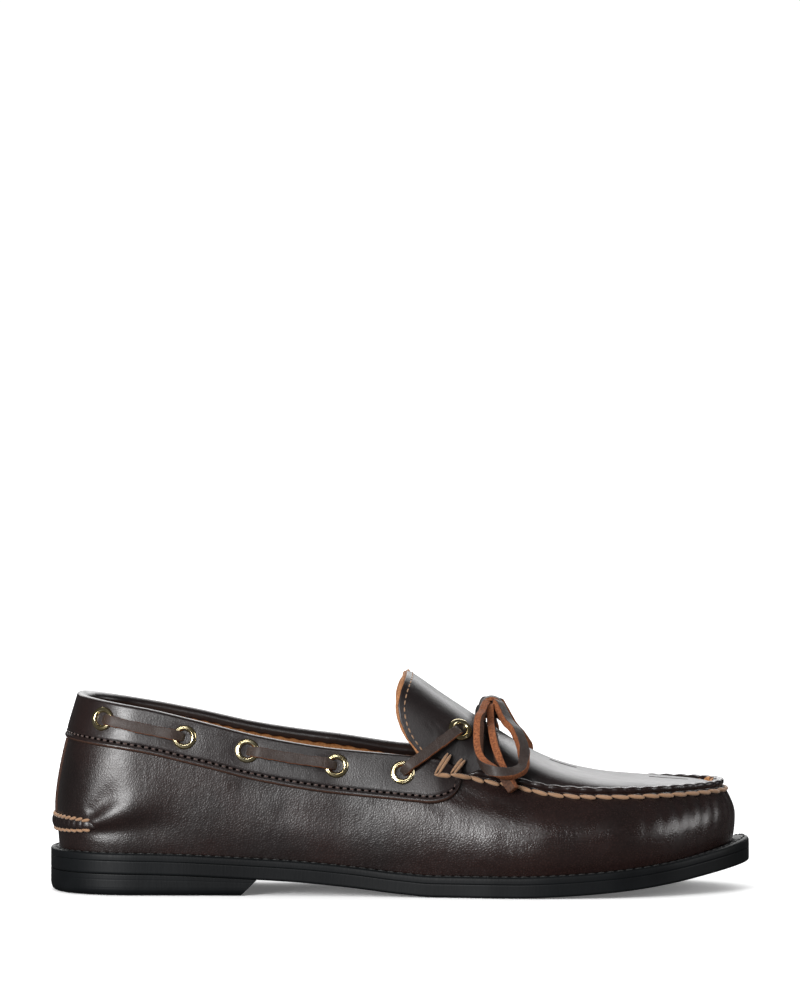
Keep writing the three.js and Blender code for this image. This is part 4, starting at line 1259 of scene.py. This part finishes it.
# %% Rays onto the leather
PHOTO_MIDDLE, PHOTO_FLOOR = 400, 888
LASHINGS = (
    ((434.6, 774.8), (448.0, 753.4), 1.3), ((437.3, 776.2), (450.8, 755.0), 1.3),
    ((450.4, 774.0), (462.6, 758.4), 1.3), ((452.9, 775.8), (465.3, 760.4), 1.3),
    ((434.2, 775.0), (450.8, 776.6), 1.9), ((450.0, 775.2), (471.4, 779.2), 1.9),
)


RAY_START = 500
LASHING_LIFT = 0.35


def on_skin(px, py, side):
    """Where the photo's pixel meets the shoe, from the photo's side or from the mirrored one."""
    bpy.context.view_layer.update()
    slope = math.sin(CAMERA_ELEVATION)
    up = ((PHOTO_FLOOR - py) * PIXEL / MM + RAY_START * slope) / math.cos(CAMERA_ELEVATION)
    start = Vector(((px - PHOTO_MIDDLE) * PIXEL / MM, side * RAY_START, up)) * MM
    ahead = Vector((0, -side * math.cos(CAMERA_ELEVATION), -slope))
    graph = bpy.context.evaluated_depsgraph_get()
    found, place, normal, *_ = bpy.context.scene.ray_cast(graph, start, ahead)
    if not found:
        raise RuntimeError("no leather under the stitch at " + str((px, py)))
    if normal.dot(ahead) > 0:
        normal = -normal
    return np.array(place) / MM + np.array(normal) * LASHING_LIFT, np.array(normal)


lashing_rows = []
for _, side in SIDES:
    for (px0, py0), (px1, py1), width in LASHINGS:
        rows = [on_skin(mix(px0, px1, t), mix(py0, py1, t), side) for t in (0, 0.5, 1)]
        lashing_rows.append((rows, width))
print("lashings found on the leather:", len(lashing_rows))

# %% [markdown]
# ## One stitch, many times
# A stitch is a short fat twist of thread that dives into the leather at both ends. It is modelled once
# from a sphere, pulled long and pointed, and copied along each seam. Copies are joined seam by seam.

# %% Stitch models
def stitch_model(name, segments, rings, lean):
    deselect()
    bpy.ops.mesh.primitive_uv_sphere_add(segments=segments, ring_count=rings, radius=0.5)
    model = bpy.context.active_object
    model.name = name
    bpy.ops.transform.rotate(value=math.pi / 2, orient_axis="Y", center_override=(0, 0, 0))
    bpy.ops.object.transform_apply(location=True, rotation=True, scale=True)
    for vertex in model.data.vertices:
        share = vertex.co.x * 2
        fat = max(0.0, 1 - abs(share) ** 2.6) ** 0.5 * (1 + lean * share)
        ring = math.hypot(vertex.co.y, vertex.co.z)
        if ring > 1e-6:
            vertex.co.y *= 0.5 * fat / ring
            vertex.co.z *= 0.5 * fat / ring
    bpy.ops.object.shade_smooth()
    return model


fat_stitch = stitch_model("fat_stitch", 14, 14, 0.18)
small_stitch = stitch_model("small_stitch", 8, 6, 0.0)


def lay_stitch(model, start, end, up, width, height):
    """A copy of the stitch from start to end, in millimetres, with its flat side facing up."""
    start, end, up = (Vector(v) for v in (start, end, up))
    along = (end - start).normalized()
    across = up.cross(along).normalized()
    top = along.cross(across)
    turned = Matrix((along, across, top)).transposed().to_4x4()
    scale = Matrix.Diagonal(((end - start).length * MM, width * MM, height * MM, 1))
    return place_copy(model, Matrix.Translation((start + end) / 2 * MM) @ turned @ scale)


def finish_stitches(stitches, name, material):
    print(name, "holds", len(stitches), "stitches")
    return finish_piece(joined(stitches, name), [material])


def evenly(row, pitch):
    """Spots a pitch apart along a dense row of points and normals, each paired with the next spot."""
    lengths = lengths_along(row[:, :3])
    count = int(lengths[-1] / pitch)
    spots = picked(row, lengths, (np.arange(count) + 0.5) * lengths[-1] / count)
    return list(zip(spots[:-1], spots[1:]))


def sew_row(row, pitch, half, width, height, lift=0.0):
    """Small stitches between the spots of a row, each of a half length to both sides."""
    stitches = []
    for here, ahead in evenly(row, pitch):
        way, up = unit(ahead[:3] - here[:3]), unit(here[3:] + ahead[3:])
        middle = (here[:3] + ahead[:3]) / 2 + up * lift
        stitches.append(lay_stitch(small_stitch, middle - way * half, middle + way * half, up, width, height))
    return stitches


# %% Whip stitches round the plug
def level_below(turn, drop):
    return 1 - drop / (rim_z(turn) - foot_z(turn))


def seam_point(distance, drop, off):
    turn = np.array(seam_turn(distance))
    return wall(turn, level_below(turn, drop), off)


chance = random.Random(7)
whip = []
for number in range(STITCHES):
    middle = (number + 0.5) * STITCH
    forward = 1 if middle < seam_lengths[-1] / 2 else -1
    stretch = STITCH * (0.53 + chance.uniform(-0.02, 0.02))
    high, low = 0.35 + chance.uniform(-0.12, 0.12), 1.2 + chance.uniform(-0.12, 0.12)
    rear = seam_point(middle - forward * stretch, high, 0.35)
    front = seam_point(middle + forward * stretch, low, 0.5)
    up = wall_normal(np.array(seam_turn(middle)), np.array(1.0))
    whip.append(lay_stitch(fat_stitch, rear, front, up, 1.9, 1.7))

# %% Lashings
lashings = []
for rows, width in lashing_rows:
    up = unit(rows[0][1] + rows[1][1] + rows[2][1])
    start, middle, end = (row[0] for row in rows)
    bulge = max(0.0, float(np.dot(middle - (start + end) / 2, up)))
    lashings.append(lay_stitch(
        fat_stitch, start + up * bulge * 0.8, end + up * bulge * 0.8, up, width * 1.08, max(width, 1.5),
    ))
finish_stitches(whip, "whip_stitches", tan_thread)
finish_stitches(lashings, "lashings", tan_thread)

# %% [markdown]
# ## Machine stitches
# The band is stitched all along its fold. On black leather the needle holes read stronger than the thread,
# so a hole and a short thread take turns. Each hole is a flat patch of matt black: its shade, painted on.
# The tongue's edge has a light thread and the sole's ledge a black one.

# %% Stitches of the band
def band_row(turns, along):
    """Points a little under the band's face, with its normals."""
    points, outer = (band_point(turns, along, np.full_like(turns, BAND_SWELL + off)) for off in (-0.3, 0.7))
    return np.concatenate([points, unit(outer - points)], axis=1)


BAND_PITCH = 3.0
last_turn = band_front_turn - 2.4 / FRONT_RADIUS
dense = np.linspace(-last_turn, last_turn, 1600)
rise = np.linspace(STITCH_ROW, float(band_height(np.array(last_turn))) - 1, 60)
front, far_front = (band_row(np.full_like(rise, sign * last_turn), rise) for sign in (1, -1))
row = np.concatenate([far_front[::-1], band_row(dense, np.full_like(dense, STITCH_ROW)), front])
threads = sew_row(row, BAND_PITCH, 0.85, 0.7, 0.6, lift=0.08)
# Each hole is a small black patch of painted shade, sunk into the band's face.
hole_shade_patches = []
for here, ahead in evenly(row, BAND_PITCH):
    way, spot = unit(ahead[:3] - here[:3]) * 0.72, here[:3] - here[3:] * 0.02
    hole_shade_patches.append(lay_stitch(small_stitch, spot - way, spot + way, here[3:], 1.15, 0.7))
finish_stitches(threads, "band_stitches", dark_thread)
finish_stitches(hole_shade_patches, "band_holes_painted_shade", painted_hole_shade)

# %% Stitches of the tongue
def tongue_row(angles, inset):
    """A row along the tongue's edge, an inset in from it, from the outer side over to the inner side."""
    starts = np.array([tongue_start(angle) for angle in angles])
    starts = np.convolve(np.pad(starts, 6, mode="edge"), np.ones(13) / 13, mode="valid")
    beside = arch_point(starts + 0.01, angles) - arch_point(starts, angles)
    starts = starts + 0.01 * inset / np.linalg.norm(beside, axis=1)
    near, far = (np.concatenate(arch_skin(sign, starts, angles), axis=1) for sign in (1, -1))
    return np.concatenate([near, far[::-1][1:]])


threads = sew_row(tongue_row(np.linspace(0.02, math.pi / 2, 160), 2.6), BAND_PITCH, 1.05, 0.6, 0.55, lift=0.1)
finish_stitches(threads, "tongue_stitches", tan_thread)

# %% Stitches of the sole's ledge
LEDGE_INSET = 2.1
dense = np.linspace(0, 2 * math.pi, 1400)
x, y = outline(dense, LEDGE_INSET)
row = np.concatenate([stack(x, y, midsole_top_z(x) + 0.05), stack(0 * x, 0, 1)], axis=1)
finish_stitches(sew_row(row, 4.0, 1.5, 0.8, 0.7), "ledge_stitches", black_thread)

# %% [markdown]
# ## The back of the heel
# The two quarters meet under a raw-edged strip, which runs from the band down to a small roll. The roll is
# a fold of the same leather, gathered in upright puckers by two rows of hand stitches.

# %% Heel strip and roll
STRIP_HALF = 1.9
STRIP_SECTION = ((-1.12, -0.3), (-1.0, 0.35), (-0.86, 0.78), (-0.4, 0.92), (0.4, 0.92), (0.86, 0.78),
                 (1.0, 0.35), (1.12, -0.3))


def heel_turn(y):
    return y / float(outline(np.array(0.05), 0.0)[1]) * 0.05


strip_rows = []
strip_z = np.linspace(30.5, 62.5, 60)
for across, off in STRIP_SECTION + (STRIP_SECTION[0],):
    turn = np.full_like(strip_z, heel_turn(across * STRIP_HALF))
    waver = 0.05 * np.sin(strip_z * 2.1 + across * 3)
    strip_rows.append(wall(turn, level_of(turn, strip_z), np.full_like(strip_z, off) + waver))
strip_points = np.stack(strip_rows, axis=1)
middles = strip_points[[0, -1]].mean(axis=1, keepdims=True)
caps = np.broadcast_to(middles, strip_points[[0, -1]].shape)
strip = sewn(sheet_on_form("heel_seam_strip", np.concatenate([caps[:1], strip_points, caps[1:]])))
finish_piece(strip, [band_leather, seam_edge], ["upper"])
paint(strip, 1, rows=(0, 3))
paint(strip, 1, rows=(4, 8))

ROLL_HEIGHT = 28.6
ROLL_TALL = 6.2
ROLL_PROUD = 2.3
ROLL_REACH = math.acos(1 - 2 * 0.06)
ROLL_PITCH = 3.4


def roll_point(turn, angle, lift=0.0):
    """angle goes round the roll, from below over its outside to above."""
    end = np.sqrt(np.clip(1 - np.abs(turn / ROLL_REACH) ** 3, 0, 1))
    x, y = outline(turn, 0.0)
    length = np.cumsum(np.hypot(np.gradient(x), np.gradient(y)))
    pucker = 1 - 0.16 * (0.5 + 0.5 * np.cos(2 * math.pi * length / ROLL_PITCH)) ** 2
    z = ROLL_HEIGHT + (ROLL_TALL / 2 + lift * 0.6) * np.sin(angle) * (0.35 + 0.65 * end)
    off = (ROLL_PROUD + lift) * np.cos(angle) * end * pucker
    return wall(turn, level_of(turn, z), np.where(np.cos(angle) < 0, -0.5, off))


roll_turns = np.linspace(-ROLL_REACH, ROLL_REACH, 190)
roll_angles = np.concatenate([np.linspace(-0.5, 0.5, 22), [0.62, 1.38, -0.5]]) * math.pi
roll_rows = [roll_point(roll_turns, angle) for angle in roll_angles]
roll = sewn(sheet_on_form("heel_roll", np.stack(roll_rows, axis=1)))
finish_piece(roll, [quarter_leather], ["upper"])

dense = np.linspace(-ROLL_REACH * 0.96, ROLL_REACH * 0.96, 300)
roll_stitches = []
for angle, slant in ((1.02, 0.55), (-1.02, -0.35)):
    normals = wall_normal(dense, np.full_like(dense, 0.4))
    row = np.concatenate([roll_point(dense, angle, 0.25), normals], axis=1)
    for here, ahead in evenly(row, ROLL_PITCH):
        lean = np.array([0, 0, slant * (1 if here[1] < 0 else -1)])
        away = unit(ahead[:3] - here[:3]) * 0.25
        roll_stitches.append(lay_stitch(
            fat_stitch, here[:3] - away - lean, ahead[:3] + away + lean, unit(here[3:] + ahead[3:]), 1.4, 1.3,
        ))
finish_stitches(roll_stitches, "heel_roll_stitches", tan_thread)

# %% [markdown]
# ## Leather lace
# The lace is a thong cut from thick leather: a dark grain face, a fibrous flesh side and two raw orange
# edges. A lace is a sheet rolled into a small rectangle along a smooth path, and at each point it knows
# which way its grain face looks, so it can twist.

# %% Lace helper
LACE_WIDTH = 4.3
LACE_THICKNESS = 2.6
LACE_CORNER = 0.34
LACE_STEP = 0.55
QUARTER_STEPS = 3
# The width wavers: waves as radians a millimetre and share of the width
LACE_WAVES = ((0.5, 0.035), (1.3, 0.025), (3.1, 0.015))


def smooth_path(points, samples):
    """A Catmull-Rom curve through the rows of points, sampled evenly along its length."""
    points = np.asarray(points, dtype=float)
    padded = np.concatenate([[2 * points[0] - points[1]], points, [2 * points[-1] - points[-2]]])
    dense = []
    for i in range(1, len(padded) - 2):
        p0, p1, p2, p3 = padded[i - 1:i + 3]
        for t in np.linspace(0, 1, 24, endpoint=False):
            dense.append(0.5 * (
                2 * p1 + (p2 - p0) * t + (2 * p0 - 5 * p1 + 4 * p2 - p3) * t ** 2
                + (3 * p1 - p0 - 3 * p2 + p3) * t ** 3
            ))
    dense.append(padded[-2])
    dense = np.array(dense)
    lengths = lengths_along(dense[:, :3])
    return picked(dense, lengths, np.linspace(0, lengths[-1], samples)), lengths[-1]


def lace_outline(width, thickness):
    """The section's corners, across and up, from the grain face round by an edge to the flesh side."""
    half_w, half_t, r = width / 2, thickness / 2, min(LACE_CORNER, thickness / 3)
    corners = [(half_w - r, half_t - r, 0), (half_w - r, r - half_t, -90),
               (r - half_w, r - half_t, -180), (r - half_w, half_t - r, -270)]
    outline_points = []
    for centre_x, centre_y, start in corners:
        for step in range(QUARTER_STEPS + 1):
            angle = math.radians(start + 90 - 90 * step / QUARTER_STEPS)
            outline_points.append((centre_x + r * math.cos(angle), centre_y + r * math.sin(angle)))
    outline_points.append(outline_points[0])
    return np.array(outline_points)


def lace_sheet(name, route, width=LACE_WIDTH, thickness=LACE_THICKNESS, taper=None, seed=1):
    """route rows hold a point and the direction of the grain face."""
    count = int(smooth_path(route, 8)[1] / LACE_STEP)
    rows, length = smooth_path(route, count)
    centre, face = rows[:, :3], rows[:, 3:6]
    along = unit(np.gradient(centre, axis=0))
    across = unit(np.cross(along, face))
    face = unit(np.cross(across, along))
    section_points = lace_outline(width, thickness)
    chance = np.random.default_rng(seed)
    along_lace = np.linspace(0, length, count)
    size = 1 + sum(np.sin(along_lace * f + chance.uniform(0, 6)) * a for f, a in LACE_WAVES)
    if taper is not None:
        size = size * taper(np.linspace(0, 1, count))
    points = (
        centre[:, None] + across[:, None] * (section_points[None, :, 0] * size[:, None])[..., None]
        + face[:, None] * section_points[None, :, 1][..., None]
    )
    caps = [np.broadcast_to(centre[k], points[k].shape) + (points[k] - centre[k]) * s
            for k, s in ((0, 0.0), (0, 0.8), (-1, 0.8), (-1, 0.0))]
    points = np.concatenate([[caps[0]], [caps[1]], points, [caps[2]], [caps[3]]])
    return sewn(sheet_on_form(name, points)), centre, length


def finish_lace(piece, nodes):
    """Grain on one face, flesh on the other, and raw leather on both edges and both ends."""
    corner = QUARTER_STEPS + 1
    finish_piece(piece, [lace_grain, raw_edge, lace_flesh], nodes)
    paint(piece, 1, rows=(1, corner + 2))
    paint(piece, 2, rows=(corner + 2, 2 * corner + 1))
    paint(piece, 1, rows=(2 * corner + 1, 3 * corner + 1))
    last_column = max(entry.value for entry in piece.data.attributes["column"].data)
    paint(piece, 1, columns=(0, 2))
    paint(piece, 1, columns=(last_column - 1, last_column + 1))


# %% [markdown]
# ## The lace on the collar
# On each side the lace comes up out of one eyelet, lies over the band and goes down the next. The bars
# sag a little and stand clear of the leather. The last bar crosses the throat up to the plug's eyelet.

# %% Lace runs
RUNS = (("rear", "heel", "rear"), ("middle", "middle", "fore"), ("throat", "throat", "plug"))
LACE_CLEAR = 2.7


def lace_run(name, start, end, side):
    (place_a, normal_a), (place_b, normal_b) = seats[start], seats[end]
    span = place_b - place_a
    length = np.linalg.norm(span)
    rows = []
    for share, height in (
        (0.01, -2.6), (0.03, -0.6), (0.07, 1.3), (0.15, LACE_CLEAR), (0.35, LACE_CLEAR - 0.3),
        (0.65, LACE_CLEAR - 0.3), (0.85, LACE_CLEAR), (0.93, 1.3), (0.97, -0.6), (0.99, -2.6),
    ):
        normal = unit(mix(normal_a, normal_b, share))
        point = place_a + span * share
        middle = math.sin(math.pi * share)
        if name == "throat":
            height += 1.6 * middle
        elif 0.1 < share < 0.9:
            point, _ = on_wall(side, point[0], point[2], BAND_SWELL)
        lean = span / length * (-1 if share < 0.5 else 1) * (0.9 if min(share, 1 - share) < 0.1 else 0.0)
        point = point + normal * height - np.array([0, 0, 0.5 * middle])
        rows.append(np.concatenate([point, unit(normal + lean)]))
    return rows


def eyelet_taper(share):
    ends = np.minimum(share, 1 - share)
    return 0.72 + 0.28 * smoothstep(ends, 0.04, 0.15)


for side_name, side in SIDES:
    for number, (name, start, end) in enumerate(RUNS):
        route = lace_run(name, start + "_" + side_name, end + "_" + side_name, side)
        piece, _, _ = lace_sheet(
            f"lace_{name}_{side_name}", route, taper=eyelet_taper, seed=number + 10 * (side > 0),
        )
        finish_lace(piece, [f"lace_run_{name}_{side_name}"])

# %% The tongue's raw edge
bead_route = tongue_row(np.linspace(-0.5, math.pi / 2, 120), 0.0)
bead_route[:, :3] -= bead_route[:, 3:] * 1.05 + np.array([0.25, 0, 0])
bead, _, _ = lace_sheet("tongue_edge_bead", bead_route[::2], width=1.9, thickness=1.5, seed=3)
finish_piece(bead, [tongue_edge], ["tongue"])

# %% [markdown]
# ## The bow
# The bow is tied on the plug. Its strands are free cords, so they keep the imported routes, each a row of
# points with X, reach over the plug and lift above the leather. A fourth number says how the thong is
# turned: 0 shows its raw edge to the side, 90 its grain and -90 its flesh.

# %% Bow routes
KNOT_RADII = np.array([5, 6, 5.6])
KNOT_X = 38
knot_slope = float(instep_z(np.array(KNOT_X + 1.0)) - instep_z(np.array(KNOT_X - 1.0))) / 2
knot_seat = math.hypot(KNOT_RADII[2], knot_slope * KNOT_RADII[0]) + 1.5 * GAP * math.hypot(1, knot_slope)
KNOT_CENTRE = np.array([KNOT_X, -1, float(instep_z(np.array(float(KNOT_X)))) + knot_seat])


def over_plug(side, x, reach, lift):
    """A place on the route: reach is 0 on the middle line and 1 at the seam."""
    turn = np.array(turn_of_share(share_of_x(x), side))
    edge, foot = top_edge(turn, 0.0, RIDGE_HEIGHT), top_edge(turn, RIDGE_WIDTH, 0.0)
    middle = (foot[1] + top_edge(-turn, RIDGE_WIDTH, 0.0)[1]) / 2
    y = mix(middle, edge[1], reach)
    across = min(1, abs((y - middle) / (foot[1] - middle)))
    fullness = float(instep_fullness(share_of_x(x)))
    crown = float(instep_z(np.array(float(x)))) - foot[2]
    arch = foot[2] + crown * (1 - across ** fullness) ** (1 / fullness)
    base = max(arch, edge[2]) if reach > 0.8 else arch
    return np.array([x, y, base + lift])


def off_knot(direction, clearance):
    away = unit(np.array(direction, dtype=float))
    radius = 1 / np.linalg.norm(away / KNOT_RADII)
    return KNOT_CENTRE + away * (radius + clearance)


LOOP_TURNS = (-30, -32, -34, -34, -20, 25, 75, 122, 130, 108, 66, 46, 40, 38, 36)
END_TURNS = (8, 8, 10, 12, 6, -30, -55, -70)
BOW = (
    {
        "name": "bow_loop_outer", "side": -1, "leaves": (-0.34, -0.9, 0.3), "returns": (0.36, -0.9, 0.34),
        "points": [
            (33.8, 0.42, 5), (32.6, 0.68, 5.2), (32.2, 0.92, 10.2), (33.6, 1.07, 4.8), (37.6, 1.18, 2),
            (43, 1.22, 1.4), (48.4, 1.16, 2.8), (51.8, 1.02, 6), (51.6, 0.84, 8.8), (48.6, 0.63, 9.4),
            (44.8, 0.42, 8.6),
        ],
        "turned": LOOP_TURNS,
    },
    {
        "name": "bow_end_outer", "side": -1, "leaves": (-0.04, -0.95, 0.05), "returns": None,
        "points": [
            (38, 0.43, 2.6), (38.6, 0.66, 3.2), (39.8, 0.86, 5.4), (41.6, 1, 4.2), (44, 1.09, -0.2),
            (47.2, 1.15, -4.6),
        ],
        "turned": END_TURNS,
    },
    {
        "name": "bow_loop_inner", "side": 1, "leaves": (-0.34, 0.9, 0.3), "returns": (0.36, 0.9, 0.34),
        "points": [
            (34, 0.44, 4.8), (33.2, 0.7, 5.8), (33.6, 0.92, 9.4), (35.6, 1.09, 4), (40.4, 1.2, 1.8),
            (45.8, 1.23, 1.4), (50.6, 1.13, 2.6), (53.2, 0.97, 4.4), (53, 0.8, 4.6), (50, 0.6, 5),
            (45.8, 0.42, 6.6),
        ],
        "turned": LOOP_TURNS,
    },
    {
        "name": "bow_end_inner", "side": 1, "leaves": (-0.04, 0.95, 0.05), "returns": None,
        "points": [
            (38, 0.45, 3), (38.8, 0.7, 5.4), (40.2, 0.9, 8.4), (42, 1.02, 4.6), (44.2, 1.1, -0.2),
            (46.8, 1.17, -4.6),
        ],
        "turned": END_TURNS,
    },
)
LOOP_MIDDLE = np.array([42.0, 0.0, 56.0])
LOOP_PULL = 0.06


def bow_route(strand):
    side = strand["side"]
    places = [off_knot(strand["leaves"], GAP), off_knot(strand["leaves"], 2.5)]
    places += [over_plug(side, *point) for point in strand["points"]]
    if strand["returns"]:
        places += [off_knot(strand["returns"], 2.5), off_knot(strand["returns"], GAP)]
        for index, place in enumerate(places[2:-2]):
            pull = LOOP_PULL * math.sin(math.pi * (index + 1) / (len(places) - 3))
            places[index + 2] = place - (place - LOOP_MIDDLE) * pull * np.array([1, 0, 1])
    to_viewer = np.array([0.0, float(side), 0.0])
    rows = []
    for index, (place, degrees) in enumerate(zip(places, strand["turned"])):
        ahead, behind = places[min(index + 1, len(places) - 1)], places[max(index - 1, 0)]
        along = unit(ahead - behind)
        outward = unit(np.cross(along, to_viewer))
        if np.dot(outward, place - LOOP_MIDDLE) < 0 and strand["returns"]:
            outward = -outward
        if not strand["returns"]:
            outward = outward * np.sign(outward[0])
        angle = math.radians(degrees)
        rows.append(np.concatenate([place, outward * math.cos(angle) + to_viewer * math.sin(angle)]))
    return rows, places


# %% Knot
def knot_wrap():
    """One turn of the thong over the knot. Its raw edges look to both sides."""
    rows = []
    for degrees in np.linspace(-50, 230, 15):
        angle = math.radians(degrees)
        out = np.array([math.cos(angle), 0.0, math.sin(angle)])
        radii = (KNOT_RADII[0] - 0.6, 0, KNOT_RADII[2] - 0.7)
        rows.append(np.concatenate([KNOT_CENTRE + out * radii, out]))
    return rows


deselect()
bpy.ops.mesh.primitive_uv_sphere_add(segments=32, ring_count=20, radius=1)
knot_core = bpy.context.active_object
knot_core.name = knot_core.data.name = "knot_core"
bpy.ops.transform.resize(value=tuple((KNOT_RADII - np.array([1.3, 1.4, 1.3])) * MM))
bpy.ops.transform.translate(value=tuple(KNOT_CENTRE * MM))
bpy.ops.object.transform_apply(location=True, rotation=True, scale=True)
bpy.ops.object.shade_smooth()
finish_piece(knot_core, [lace_grain], ["bow_knot"])
wrap, _, _ = lace_sheet("knot_wrap", knot_wrap(), width=8.2, thickness=1.8, seed=5)
finish_lace(wrap, ["bow_knot"])

# %% Bow strands
for number, strand in enumerate(BOW):
    rows, places = bow_route(strand)
    name = strand["name"] + "_thong"
    piece, centre, length = lace_sheet(name, rows, width=4.5, thickness=3.1, seed=40 + number)
    finish_lace(piece, [strand["name"]])
    print(strand["name"], "is", round(length), "mm long")

# %% [markdown]
# ## Floor and light
# The photo's ground is pure white, with a soft shadow where the shoe touches it. A soft box low at the
# front left gives the broad highlight on the quarter, a small one above it the sheen of the band, one
# beyond the toe its rim of light, and the largest, behind, the white of the plug. To the glossy leather
# the floor is darker than to the camera, as a photographer's black cards make it.

# %% Floor
deselect()
bpy.ops.mesh.primitive_plane_add(size=2.6, location=(0, 0.1, -0.0002))
floor = bpy.context.active_object
floor.name = "floor"
bpy.ops.object.transform_apply(location=True, rotation=True, scale=True)
floor_paint = bpy.data.materials.new("floor_paint")
floor_paint.use_nodes = True
tree = floor_paint.node_tree
paper = tree.nodes["Principled BSDF"]
# The paper glows faintly, and only camera rays see it: a painted glow that lifts the shadow round the shoe.
for key, value in (
    ("Base Color", (0.93, 0.93, 0.93, 1)), ("Roughness", 0.9), ("Specular IOR Level", 0.1),
    ("Emission Color", (1, 1, 1, 1)), ("Emission Strength", 0.12),
):
    paper.inputs[key].default_value = value
card = node(tree, "ShaderNodeBsdfDiffuse", Color=(0.05, 0.05, 0.05, 1))
pick = tree.nodes.new("ShaderNodeMixShader")
rays = tree.nodes.new("ShaderNodeLightPath")
tree.links.new(rays.outputs["Is Camera Ray"], pick.inputs["Fac"])
tree.links.new(card.outputs[0], pick.inputs[1])
tree.links.new(paper.outputs[0], pick.inputs[2])
tree.links.new(pick.outputs[0], tree.nodes["Material Output"].inputs["Surface"])
floor.data.materials.append(floor_paint)

# %% Light
world = bpy.data.worlds.new("studio")
bpy.context.scene.world = world
world.use_nodes = True
tree = world.node_tree
background = tree.nodes["Background"]
background.inputs["Color"].default_value = (1, 1, 1, 1)
rays = tree.nodes.new("ShaderNodeLightPath")
seen, lit, shiny = (
    math_node(tree, "MULTIPLY", rays.outputs["Is " + kind + " Ray"], share)
    for kind, share in (("Camera", 1.05), ("Diffuse", 0.75), ("Glossy", 0.05))
)
strength = math_node(tree, "ADD", seen, math_node(tree, "ADD", lit, shiny))
tree.links.new(strength, background.inputs["Strength"])


def soft_box(name, place, target, width, height, power):
    deselect()
    bpy.ops.object.light_add(type="AREA", location=place)
    light = bpy.context.active_object
    light.name = name
    light.data.shape = "RECTANGLE"
    light.data.size, light.data.size_y = width, height
    light.data.energy = power
    light.rotation_euler = (Vector(target) - Vector(place)).to_track_quat("-Z", "Y").to_euler()


soft_box("side_box", (-0.74, -1.06, 0.33), (-0.08, 0, 0.08), 0.7, 0.42, 22)
soft_box("front_box", (-0.22, -1.05, 0.72), (-0.04, 0, 0.07), 0.4, 0.12, 2)
soft_box("toe_box", (1.2, -0.2, 0.34), (0.12, 0, 0.03), 0.7, 0.5, 5)
soft_box("back_box", (0.0, 1.45, 1.0), (0, 0, 0.05), 1.6, 1.4, 25)
bpy.context.scene.view_settings.view_transform = "Standard"
bpy.context.scene.view_settings.look = "None"

# %% Finish
for spare in (fat_stitch, small_stitch):
    bpy.data.objects.remove(spare)
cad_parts["insole"].material_slots[0].material = lining_leather
